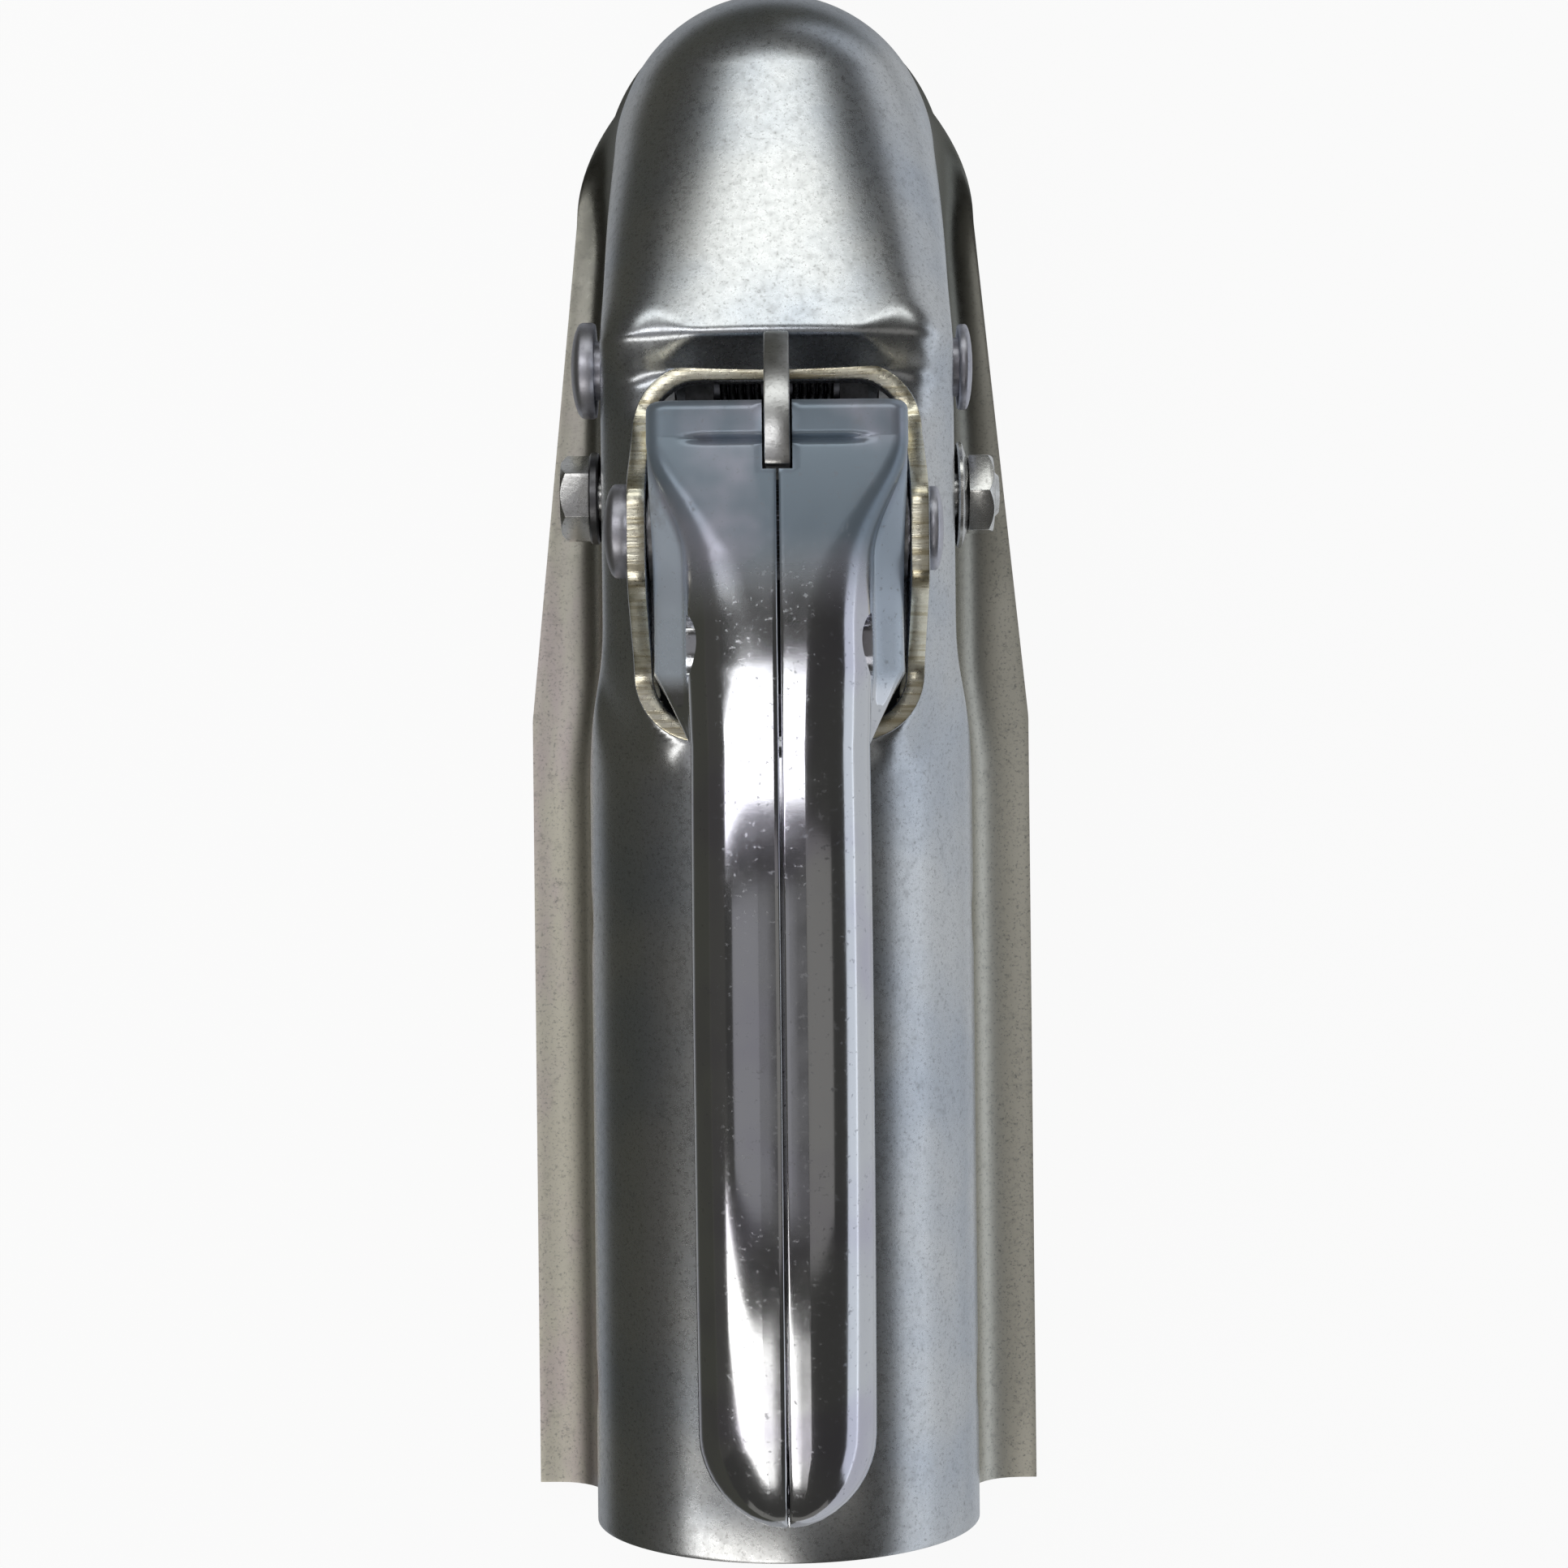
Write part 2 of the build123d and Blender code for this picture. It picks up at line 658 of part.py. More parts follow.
def spring_right():
    """Torsion spring on the right of the arm. Its legs run on straight from the ends of the coil."""
    pitch = wire_d + coil_gap
    under = sleeve_d / 2 + wire_d / 2 + hook_room
    hook = Vector(sy - jy, sz - under - jz, 0)
    hook_angle = Vector(1, 0, 0).get_signed_angle(hook, Vector(0, 0, 1)) + 360
    end_angle = hook_angle + acos_deg(coil_r / hook.length)
    turn = spring_leg_angle - end_angle + 360 * coil_turns
    a = radians(spring_leg_angle)
    foot = (jz + coil_r * sin(a) - arm_low - wire_d) / -cos(a)
    reach = sqrt(hook.length ** 2 - coil_r ** 2) + 2 * wire_d
    coil = Helix(pitch, pitch * turn / 360, coil_r, lefthand=True)
    ring = Circle(wire_d / 2)
    wire = sweep((coil ^ 0) * ring, path=coil)
    wire += extrude((coil ^ 0) * ring, amount=-foot)
    wire += extrude((coil ^ 1) * ring, amount=reach)
    side_run = foot * pitch / (2 * pi * coil_r)
    start = arm_t / 2 + side_gap + wire_d / 2 + side_run
    return Pos(start, jy, jz) * Rot(0, 90, 0) * Rot(0, 0, spring_leg_angle + 90) * wire


right_spring = spring_right()
export_step(right_spring, "parts/jaw_spring_right.step")
export_step(mirror(right_spring, Plane.YZ), "parts/jaw_spring_left.step")


# Stop bolt through both walls, with its washers and nut
def hex_bar(x0, x1, turn):
    """Six-sided bar along X on the stop line."""
    face = RegularPolygon(bolt_hex / 2, 6, major_radius=False, rotation=turn)
    return Pos(x0, sy, sz) * Rot(0, 90, 0) * extrude(face, amount=x1 - x0)


def turned_down(x0, x1, flat):
    """Cone frustum that takes the corners off a hex end, flat is the end that is smaller."""
    r = bolt_hex * 0.62
    small = bolt_hex * 0.47
    length = x1 - x0
    cone = Cone(r + length, small, r + length - small, align=(Align.CENTER, Align.CENTER, Align.MIN))
    if flat > 0:
        return Pos(x1 - (r + length - small), sy, sz) * Rot(0, 90, 0) * cone
    return Pos(x0 + (r + length - small), sy, sz) * Rot(0, -90, 0) * cone


head_x = -wall_x - washer_h
dish_x = wall_x + dish_h + dish_rise
end_x = dish_x + nut_h + bolt_end
head = hex_bar(head_x - bolt_head_h, head_x, 0)
head &= turned_down(head_x - bolt_head_h, head_x, -1)
shank = chamfer(rod(stop_pin, bolt_d, head_x, end_x).edges().sort_by(Axis.X)[-1], bolt_end * 0.8)
stop_bolt = head + shank
export_step(stop_bolt, "parts/stop_bolt.step")
nut = hex_bar(dish_x, dish_x + nut_h, 30) & turned_down(dish_x, dish_x + nut_h, 1)
nut -= rod(stop_pin, bolt_d, 0, hood_width)
export_step(nut, "parts/stop_nut.step")
flat_washer = tube(stop_pin, washer_d, bolt_bore, head_x, -wall_x)
export_step(flat_washer, "parts/stop_washer.step")
dish_line = Polyline(
    (wall_x, dish_d / 2, 0),
    (wall_x + dish_h, dish_d / 2, 0),
    (dish_x, bolt_hex * 0.46, 0),
    (dish_x, bolt_bore / 2, 0),
    (dish_x - dish_h, bolt_bore / 2, 0),
    (dish_x - dish_h, bolt_hex * 0.42, 0),
    close=True,
)
dished = Pos(0, sy, sz) * revolve(make_face(dish_line), Axis.X)
export_step(dished, "parts/nut_washer.step")
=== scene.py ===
"""Looks of a trailer coupling head: pressed housing, lift handle, fasteners and jaw works."""
import logging
from contextlib import contextmanager
from dataclasses import dataclass
from enum import Enum
from math import acos, atan2, cos, exp, hypot, pi, radians, sin, sqrt, tan
from typing import Any, Callable, Iterator, Sequence

import bpy
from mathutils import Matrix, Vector


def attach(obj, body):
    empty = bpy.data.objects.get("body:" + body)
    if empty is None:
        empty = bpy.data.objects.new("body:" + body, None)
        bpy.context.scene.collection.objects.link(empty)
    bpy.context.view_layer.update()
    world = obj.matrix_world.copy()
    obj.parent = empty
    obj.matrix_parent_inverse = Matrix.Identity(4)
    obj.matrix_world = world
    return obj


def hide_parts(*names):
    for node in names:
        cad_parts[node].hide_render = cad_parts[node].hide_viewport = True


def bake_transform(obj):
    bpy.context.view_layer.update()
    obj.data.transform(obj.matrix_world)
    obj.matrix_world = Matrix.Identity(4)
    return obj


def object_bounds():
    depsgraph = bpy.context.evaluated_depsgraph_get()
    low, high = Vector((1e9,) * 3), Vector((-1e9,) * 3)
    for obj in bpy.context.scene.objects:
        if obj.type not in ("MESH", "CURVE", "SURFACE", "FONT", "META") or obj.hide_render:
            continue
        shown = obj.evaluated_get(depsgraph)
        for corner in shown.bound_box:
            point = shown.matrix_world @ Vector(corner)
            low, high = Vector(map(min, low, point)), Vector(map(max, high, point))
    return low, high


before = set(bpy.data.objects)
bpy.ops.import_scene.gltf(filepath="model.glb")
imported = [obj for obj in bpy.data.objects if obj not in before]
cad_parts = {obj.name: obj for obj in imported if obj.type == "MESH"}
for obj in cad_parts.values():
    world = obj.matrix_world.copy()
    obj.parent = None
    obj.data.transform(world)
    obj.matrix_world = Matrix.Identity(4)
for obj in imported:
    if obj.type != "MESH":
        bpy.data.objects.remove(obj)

CAD_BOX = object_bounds()
MM = 0.001
LOG = logging.getLogger("coupling_head")

Colour = tuple[float, float, float]
Pair = tuple[float, float]
Triple = tuple[float, float, float]
Piece = bpy.types.Object

# Pins of the head as (y, z), in millimetres like every size of a piece.
JAW_PIN: Pair = (-40.7, 20.0)
HANDLE_PIN: Pair = (-71.3, 54.0)
STOP_PIN: Pair = (-61.8, 12.0)

# Turn that lays a disc or a drill along X.
ACROSS: Triple = (0.0, pi / 2, 0.0)
DRILL_LENGTH = 80.0
DRILL_SIDES = 64

# Half the angle of a corner that is as good as straight, and the reach of its points.
STRAIGHT = radians(89.0)
STRAIGHT_REACH = 0.1


def blend(a: float, b: float, u: float) -> float:
    """Even change from a to b as u goes from 0 to 1."""
    return a + (b - a) * u


def held(u: float) -> float:
    """A share that stays between 0 and 1."""
    return max(0.0, min(1.0, u))


def ease(u: float) -> float:
    """Soft start and soft end, held at 0 and 1 outside."""
    u = held(u)
    return u * u * (3 - 2 * u)


def ramp(value: float, start: float, end: float) -> float:
    """Soft change from 0 to 1 while the value goes from start to end."""
    return ease((value - start) / (end - start))


def soft_min(a: float, b: float, round_off: float) -> float:
    """Lower of two heights, with the edge between them rounded off."""
    h = held(0.5 + 0.5 * (b - a) / round_off)
    return blend(b, a, h) - round_off * h * (1 - h)


def soft_max(a: float, b: float, round_off: float) -> float:
    """Higher of two heights, with the valley between them rounded out."""
    return -soft_min(-a, -b, round_off)


def spaced(places: Sequence[float], counts: Sequence[int]) -> list[float]:
    """Rows of a sheet, evenly spaced from each place to the next.

    Args:
        places: Places between which the spacing changes.
        counts: Number of steps from each place to the next.

    Returns:
        Every row's place.
    """
    rows = [places[0]]
    for start, end, count in zip(places, places[1:], counts):
        rows += [blend(start, end, (i + 1) / count) for i in range(count)]
    return rows


def corner_arc(
    before: Pair, corner: Pair, after: Pair, radius: float, steps: int, room: Pair
) -> list[Pair]:
    """Points of the arc that rounds a corner.

    Args:
        before: Point that the line comes from.
        corner: The sharp corner.
        after: Point that the line goes to.
        radius: Radius of the rounding, less where the lines are short.
        steps: Number of pieces that the arc is cut into.
        room: Share of each line that the arc may take up.

    Returns:
        The arc's points, steps + 1 of them, from the first tangent point to the second.
    """
    p = Vector(corner)
    u = (Vector(before) - p).normalized()
    v = (Vector(after) - p).normalized()
    half = u.angle(v) / 2
    reach = min(room[0] * (Vector(before) - p).length, room[1] * (Vector(after) - p).length)
    if half > STRAIGHT:
        reach = min(STRAIGHT_REACH, reach)
        return [tuple(p + (u - v) * (reach * (steps / 2 - i) / steps)) for i in range(steps + 1)]
    reach = min(reach, radius / tan(half))
    radius = reach * tan(half)
    mid = p + (u + v).normalized() * (radius / sin(half))
    a = p + u * reach - mid
    b = p + v * reach - mid
    start = atan2(a.y, a.x)
    turn = (atan2(b.y, b.x) - start + pi) % (2 * pi) - pi
    angles = [start + turn * i / steps for i in range(steps + 1)]
    return [(mid.x + radius * cos(t), mid.y + radius * sin(t)) for t in angles]


class Bench:
    """The hand tools that the pieces are shaped with."""

    @staticmethod
    def alone(piece: Piece) -> None:
        """Selects one piece only and makes it active."""
        bpy.ops.object.select_all(action="DESELECT")
        bpy.context.view_layer.objects.active = piece
        piece.select_set(True)

    @staticmethod
    @contextmanager
    def editing(piece: Piece) -> Iterator[None]:
        """Edit mode on one piece, with all its faces selected."""
        Bench.alone(piece)
        bpy.ops.object.mode_set(mode="EDIT")
        bpy.ops.mesh.select_mode(type="FACE")
        bpy.ops.mesh.select_all(action="SELECT")
        yield
        bpy.ops.object.mode_set(mode="OBJECT")

    @staticmethod
    def named(name: str) -> Piece:
        """Names the primitive that was just added, with its place put into its mesh."""
        bpy.ops.object.transform_apply(location=True, rotation=True, scale=True)
        piece = bpy.context.active_object
        piece.name = piece.data.name = name
        return piece

    @staticmethod
    def pressed_sheet(
        name: str, columns: int, rows: int, place: Callable[[int, int], Triple]
    ) -> Piece:
        """Grid whose points are pushed to a pressed or folded form.

        Args:
            name: Name of the piece.
            columns: Cells across.
            rows: Cells along.
            place: Gives the point in millimetres for a column and a row.

        Returns:
            The open sheet.
        """
        bpy.ops.mesh.primitive_grid_add(x_subdivisions=columns, y_subdivisions=rows, size=1.0)
        sheet = Bench.named(name)
        for vertex in sheet.data.vertices:
            column = round((vertex.co.x + 0.5) * columns)
            row = round((vertex.co.y + 0.5) * rows)
            vertex.co = Vector(place(column, row)) * MM
        return sheet

    @staticmethod
    def mirrored_sheet(name: str, rows: Sequence[Sequence[Triple]]) -> Piece:
        """Sheet whose left half is the mirror image of its right half.

        Args:
            name: Name of the piece.
            rows: Points of the right half in millimetres, row by row, up to the middle.

        Returns:
            The open sheet.
        """
        half = len(rows[0]) - 1

        def place(column: int, row: int) -> Triple:
            """Point of either half."""
            x, y, z = rows[row][min(column, 2 * half - column)]
            return x if column <= half else -x, y, z

        return Bench.pressed_sheet(name, 2 * half, len(rows) - 1, place)

    @staticmethod
    def turned(
        name: str, pin: Pair, rings: Sequence[Pair], sides: int = 48, turn: float = 0.0
    ) -> Piece:
        """Turned or many-sided bar along X: a disc that is drawn out ring by ring.

        Args:
            name: Name of the piece.
            pin: Place of its axis as (y, z).
            rings: Place along X and radius of each ring.
            sides: Corners of a ring.
            turn: Turn of the corners about the axis, in degrees.

        Returns:
            The closed bar.
        """
        y, z = pin
        x, r = rings[0]
        bpy.ops.mesh.primitive_circle_add(
            vertices=sides, radius=r * MM, fill_type="NGON",
            location=(x * MM, 0, 0), rotation=ACROSS,
        )
        bar = Bench.named(name)
        bar.rotation_euler = (radians(turn), 0, 0)
        bar.location = (0, y * MM, z * MM)
        bpy.ops.object.transform_apply(location=True, rotation=True, scale=True)
        with Bench.editing(bar):
            for ring in rings[1:]:
                step = (ring[0] - x) * MM
                grow = ring[1] / r
                bpy.ops.mesh.extrude_region_move(TRANSFORM_OT_translate={"value": (step, 0, 0)})
                x, r = ring
                centre = (x * MM, y * MM, z * MM)
                bpy.ops.transform.resize(value=(1, grow, grow), center_override=centre)
        Bench.weld(bar, near=0.001)
        return bar

    @staticmethod
    def weld(piece: Piece, near: float) -> None:
        """Merges points that are nearer than this many millimetres and turns all faces outwards."""
        with Bench.editing(piece):
            bpy.ops.mesh.remove_doubles(threshold=near * MM)
            bpy.ops.mesh.dissolve_degenerate(threshold=0.2 * near * MM)
            bpy.ops.mesh.normals_make_consistent(inside=False)

    @staticmethod
    def face_up(piece: Piece, face: bpy.types.MeshPolygon) -> None:
        """Turns a sheet's faces over unless this one of its top looks up."""
        if face.normal.z < 0:
            with Bench.editing(piece):
                bpy.ops.mesh.flip_normals()

    @staticmethod
    def cut_away(piece: Piece, unwanted: Callable[[Vector], bool]) -> None:
        """Deletes the faces whose middle, in millimetres, is unwanted."""
        with Bench.editing(piece):
            bpy.ops.mesh.select_all(action="DESELECT")
        for face in piece.data.polygons:
            face.select = unwanted(face.center / MM)
        bpy.ops.object.mode_set(mode="EDIT")
        bpy.ops.mesh.delete(type="FACE")
        bpy.ops.object.mode_set(mode="OBJECT")

    @staticmethod
    def modify(piece: Piece, kind: str, **settings: Any) -> None:
        """Adds a modifier, sets it and applies it."""
        Bench.alone(piece)
        step = piece.modifiers.new(kind.lower(), kind)
        for key, value in settings.items():
            setattr(step, key, value)
        bpy.ops.object.modifier_apply(modifier=step.name)

    @staticmethod
    def carve(piece: Piece, operation: str, tool: Piece) -> None:
        """Works on a piece with a tool, which is used up."""
        Bench.modify(piece, "BOOLEAN", operation=operation, solver="EXACT", object=tool)
        bpy.data.objects.remove(tool)

    @staticmethod
    def round_edges(piece: Piece, width: float, angle: float) -> None:
        """Takes the sharpness off every edge that is sharper than the angle."""
        Bench.modify(
            piece, "BEVEL", width=width * MM, segments=2, limit_method="ANGLE",
            angle_limit=radians(angle), use_clamp_overlap=True,
        )

    @staticmethod
    def drill(
        piece: Piece, centre: Triple, radius: float, length: float = DRILL_LENGTH
    ) -> None:
        """Cuts a round hole right through, along X."""
        bpy.ops.mesh.primitive_cylinder_add(
            vertices=DRILL_SIDES, radius=radius * MM, depth=length * MM,
            location=Vector(centre) * MM, rotation=ACROSS,
        )
        Bench.carve(piece, "DIFFERENCE", Bench.named("drill"))

    @staticmethod
    def join(name: str, *pieces: Piece) -> Piece:
        """Joins pieces into the first one, under a new name."""
        Bench.alone(pieces[0])
        for piece in pieces:
            piece.select_set(True)
        bpy.ops.object.join()
        pieces[0].name = pieces[0].data.name = name
        return pieces[0]

    @staticmethod
    def smooth(piece: Piece, angle: float) -> None:
        """Smooth shading, with edges sharper than the angle kept."""
        Bench.alone(piece)
        bpy.ops.object.shade_smooth_by_angle(angle=radians(angle))

    @staticmethod
    def copy_of(node: str, name: str) -> Piece:
        """Merged copy of a solid of the frame, to be worked on."""
        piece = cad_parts[node].copy()
        piece.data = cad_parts[node].data.copy()
        for key in [k for k in piece.keys() if k.startswith("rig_")]:
            del piece[key]
        piece.parent = None
        piece.name = piece.data.name = name
        bpy.context.scene.collection.objects.link(piece)
        Bench.alone(piece)
        bpy.ops.mesh.customdata_custom_splitnormals_clear()
        Bench.weld(piece, near=0.01)
        return piece


def maths(operation: str, turned_round: bool = False) -> Callable[..., "Socket"]:
    """Operator that adds a Math node.

    Args:
        operation: What the node does.
        turned_round: Whether the other value comes first.

    Returns:
        The operator, as a method of Socket.
    """

    def apply(self: "Socket", other: Any = 0.0) -> "Socket":
        """Value of the node."""
        a, b = (other, self) if turned_round else (self, other)
        return self.sheet.node("ShaderNodeMath", {"operation": operation}, {0: a, 1: b})

    return apply


class Socket:
    """A value that runs through a material and is worked with in plain expressions."""

    __add__ = maths("ADD")
    __radd__ = maths("ADD", turned_round=True)
    __sub__ = maths("SUBTRACT")
    __rsub__ = maths("SUBTRACT", turned_round=True)
    __mul__ = maths("MULTIPLY")
    __abs__ = maths("ABSOLUTE")
    root = maths("SQRT")
    at_least = maths("MAXIMUM")

    def __init__(self, sheet: "Recipe", end: bpy.types.NodeSocket) -> None:
        """Holds the socket and the recipe that it belongs to."""
        self.sheet = sheet
        self.end = end

    def sibling(self, output: str) -> "Socket":
        """Another output of the same node."""
        return Socket(self.sheet, self.end.node.outputs[output])

    def between(self, low: float, high: float, top: float = 1.0) -> "Socket":
        """Smooth change from 0 to top while the value goes from low to high."""
        return self.sheet.node(
            "ShaderNodeMapRange", {"interpolation_type": "SMOOTHSTEP", "clamp": True},
            {"Value": self, "From Min": low, "From Max": high, "To Min": 0.0, "To Max": top},
        )


class Recipe:
    """The nodes of one material, or of the room behind the lamps."""

    def __init__(self, name: str, room: bpy.types.World | None = None) -> None:
        """Starts an empty material, or empties the room's nodes."""
        self.material = room or bpy.data.materials.new(name)
        self.material.use_nodes = True
        self.tree = self.material.node_tree
        self.tree.nodes.clear()

    def node(
        self, kind: str, settings: dict[str, Any], values: dict[Any, Any], out: Any = 0
    ) -> Socket:
        """Adds one node.

        Args:
            kind: Type of the node.
            settings: Its settings.
            values: Values or links of its sockets, by name or number.
            out: Name or number of the output that is wanted.

        Returns:
            That output.
        """
        made = self.tree.nodes.new(kind)
        for key, value in settings.items():
            setattr(made, key, value)
        for key, value in values.items():
            if isinstance(value, Socket):
                self.tree.links.new(value.end, made.inputs[key])
            else:
                made.inputs[key].default_value = value
        return Socket(self, made.outputs[out])

    def place(self) -> Socket:
        """Object coordinates, in metres."""
        return self.node("ShaderNodeTexCoord", {}, {}, "Object")

    def axes(self, place: Socket) -> tuple[Socket, Socket, Socket]:
        """X, Y and Z of a place."""
        x = self.node("ShaderNodeSeparateXYZ", {}, {0: place}, "X")
        return x, x.sibling("Y"), x.sibling("Z")

    def seen(self) -> Socket:
        """1 for what the camera sees itself."""
        return self.node("ShaderNodeLightPath", {}, {}, "Is Camera Ray")

    def stretched(self, place: Socket, scale: Triple) -> Socket:
        """Place stretched along the axes."""
        return self.node("ShaderNodeMapping", {}, {"Vector": place, "Scale": scale})

    def noise(self, place: Socket, scale: float, detail: float, rough: float = 0.5) -> Socket:
        """Cloudy noise from 0 to 1."""
        values = {"Vector": place, "Scale": scale, "Detail": detail, "Roughness": rough}
        return self.node("ShaderNodeTexNoise", {}, values)

    def mix(self, share: Any, a: Any, b: Any) -> Socket:
        """Colour a, with a share of colour b."""
        a = a if isinstance(a, Socket) else (*a, 1.0)
        b = b if isinstance(b, Socket) else (*b, 1.0)
        return self.node("ShaderNodeMix", {"data_type": "RGBA"}, {0: share, 6: a, 7: b}, 2)

    def bump(self, height: Socket, depth: float, strength: float) -> Socket:
        """Surface normal of a relief this many millimetres deep."""
        values = {"Strength": strength, "Distance": depth * MM, "Height": height}
        return self.node("ShaderNodeBump", {}, values, "Normal")

    def metal(
        self, colour: Socket, rough: Socket, normal: Socket, metallic: Any = 1.0
    ) -> bpy.types.Material:
        """Closes the recipe with a metal surface.

        Args:
            colour: Base colour.
            rough: Roughness.
            normal: Surface normal with its relief.
            metallic: How much of the surface is bare metal.

        Returns:
            The finished material.
        """
        values = {"Base Color": colour, "Roughness": rough, "Metallic": metallic, "Normal": normal}
        self.close(self.node("ShaderNodeBsdfPrincipled", {}, values, "BSDF"))
        return self.material

    def close(self, surface: Socket, kind: str = "ShaderNodeOutputMaterial") -> None:
        """Links a surface to the output."""
        end = self.tree.nodes.new(kind)
        self.tree.links.new(surface.end, end.inputs["Surface"])


# Places in a finish are in metres, as a material reads them. Reliefs are in millimetres.
@dataclass(frozen=True)
class PressingZinc:
    """Satin zinc plate of the pressed housing: sandy speckle, warm towards the flange, with painted
    shade on the flange by the wall and towards the front, and painted light on its right.
    """

    name: str = "pressing_zinc"
    clean: Colour = (0.70, 0.71, 0.72)
    cool: Colour = (0.56, 0.60, 0.66)
    warm: Colour = (0.80, 0.76, 0.64)
    # Colour of the painted light on the flange's right side.
    light: Colour = (0.95, 0.92, 0.82)
    blush: Colour = (0.74, 0.63, 0.66)
    # Colour of the painted shade on the flange.
    shade: Colour = (0.16, 0.16, 0.14)
    pit: Colour = (0.16, 0.155, 0.15)
    roughness: float = 0.28
    sand_swing: float = 0.16
    flange_rough: float = 0.26
    flange_z: Pair = (0.004, -0.009)
    flange_x: Pair = (0.033, 0.041)
    painted_light_x: Pair = (-0.03, 0.03)
    painted_shade_y: Pair = (-0.13, 0.0)
    warm_share: float = 0.85
    blush_share: float = 0.6
    painted_wall_shade: float = 0.55
    painted_front_shade: float = 0.45
    speck_share: float = 0.42
    sand_share: float = 0.22
    relief: float = 0.03

    def build(self) -> bpy.types.Material:
        """Makes the material."""
        r = Recipe(self.name)
        place = r.place()
        x, y, z = r.axes(place)
        speck = r.noise(place, scale=1900, detail=2, rough=0.7)
        sand = r.noise(place, scale=620, detail=3, rough=0.65)
        patch = r.noise(place, scale=34, detail=3)
        stain = r.noise(r.stretched(place, (1, 0.35, 1)), scale=62, detail=4, rough=0.6)
        low = z.between(*self.flange_z)
        outer = abs(x).between(*self.flange_x)
        # Painted shade: the flange darker by the wall and towards the front.
        painted_shade_mask = (1.0 - outer) * self.painted_wall_shade + y.between(*self.painted_shade_y) * self.painted_front_shade
        specks = speck.between(0.53, 0.72) * self.speck_share
        sanded = sand.between(0.52, 0.74) * self.sand_share
        colour = r.mix(patch.between(0.35, 0.68), self.clean, self.cool)
        colour = r.mix(low * self.warm_share, colour, self.warm)
        colour = r.mix(low * stain.between(0.48, 0.66) * self.blush_share, colour, self.blush)
        # Painted light: the flange lighter on the right than on the left.
        colour = r.mix(low * x.between(*self.painted_light_x), colour, self.light)
        # Painted shade on the flange, by the wall and towards the front.
        colour = r.mix(low * painted_shade_mask, colour, self.shade)
        colour = r.mix(specks + sanded, colour, self.pit)
        rough = self.roughness + (sand - 0.5) * self.sand_swing + low * outer * self.flange_rough
        height = sand * 0.5 + speck * 0.5
        return r.metal(colour, rough, r.bump(height, self.relief, strength=0.45))


@dataclass(frozen=True)
class CutEdge:
    """Sheared edge of the sheet, with a golden plating and streaks across."""

    name: str = "cut_edge"
    bright: Colour = (0.95, 0.91, 0.76)
    dull: Colour = (0.62, 0.55, 0.38)
    roughness: float = 0.30
    swing: float = 0.25
    streaks: Triple = (60, 900, 60)
    relief: float = 0.12

    def build(self) -> bpy.types.Material:
        """Makes the material."""
        r = Recipe(self.name)
        place = r.place()
        streak = r.noise(r.stretched(place, self.streaks), scale=1.0, detail=3, rough=0.7)
        grain = r.noise(place, scale=1500, detail=2)
        colour = r.mix(streak.between(0.42, 0.66), self.bright, self.dull)
        rough = self.roughness + (grain - 0.5) * self.swing
        return r.metal(colour, rough, r.bump(streak + grain * 0.3, self.relief, strength=0.6))


@dataclass(frozen=True)
class HandleZinc:
    """Bright zinc plate of the folded handle: glossy grip, satin nose and cheeks, small marks, and
    a pale blue on the cheeks that is partly blue plating and partly painted reflection.
    """

    name: str = "handle_bright"
    bright: Colour = (0.72, 0.73, 0.76)
    blue: Colour = (0.27, 0.33, 0.40)
    # Pale blue of the cheeks: partly blue plating, partly painted reflection.
    pale: Colour = (0.66, 0.76, 0.88)
    violet: Colour = (0.60, 0.58, 0.69)
    smudge: Colour = (0.30, 0.31, 0.34)
    nose_y: Pair = (-0.088, -0.072)
    cheek_x: Pair = (0.0140, 0.0155)
    cheek_y: Pair = (-0.098, -0.094)
    spread_y: Pair = (-0.078, -0.060)
    spread: float = 0.0055
    violet_share: float = 0.7
    blue_plate_and_sheen_share: float = 0.8
    cloud_wear: float = 0.45
    fleck_wear: float = 0.40
    roughness: float = 0.12
    nose_rough: float = 0.22
    cheek_rough: float = 0.15
    cloud_swing: float = 0.12
    fleck_rough: float = 0.15
    nose_satin: float = 0.8
    satin: float = 0.6
    relief: float = 0.05

    def build(self) -> bpy.types.Material:
        """Makes the material."""
        r = Recipe(self.name)
        place = r.place()
        x, y, _ = r.axes(place)
        patch = r.noise(place, scale=55, detail=3)
        cloud = r.noise(place, scale=140, detail=4, rough=0.6)
        fleck = r.noise(place, scale=1100, detail=2, rough=0.6)
        wave = r.noise(place, scale=110, detail=1)
        grain = r.noise(r.stretched(place, (0.35, 1.6, 1.0)), scale=420, detail=3, rough=0.6)
        nose = y.between(*self.nose_y)
        cheek = (abs(x) - y.between(*self.spread_y, self.spread)).between(*self.cheek_x)
        cheek = cheek * y.between(*self.cheek_y)
        worn = cloud.between(0.56, 0.74) * nose * self.cloud_wear
        worn = worn + fleck.between(0.62, 0.74) * self.fleck_wear
        colour = r.mix(nose, self.bright, self.blue)
        colour = r.mix(patch.between(0.45, 0.70) * self.violet_share, colour, self.violet)
        # Cheeks pale blue: partly blue plating, partly painted reflection of the lamps.
        colour = r.mix(cheek * self.blue_plate_and_sheen_share, colour, self.pale)
        colour = r.mix(worn, colour, self.smudge)
        rough = self.roughness + nose * self.nose_rough + (cloud - 0.5) * self.cloud_swing
        rough = rough + fleck.between(0.6, 0.72) * self.fleck_rough + cheek * self.cheek_rough
        height = wave * 0.8 + grain * (0.10 + nose * 0.10) + fleck * 0.05
        metallic = 1.0 - cheek.at_least(nose * self.nose_satin) * self.satin
        return r.metal(colour, rough, r.bump(height, self.relief, strength=0.35), metallic)


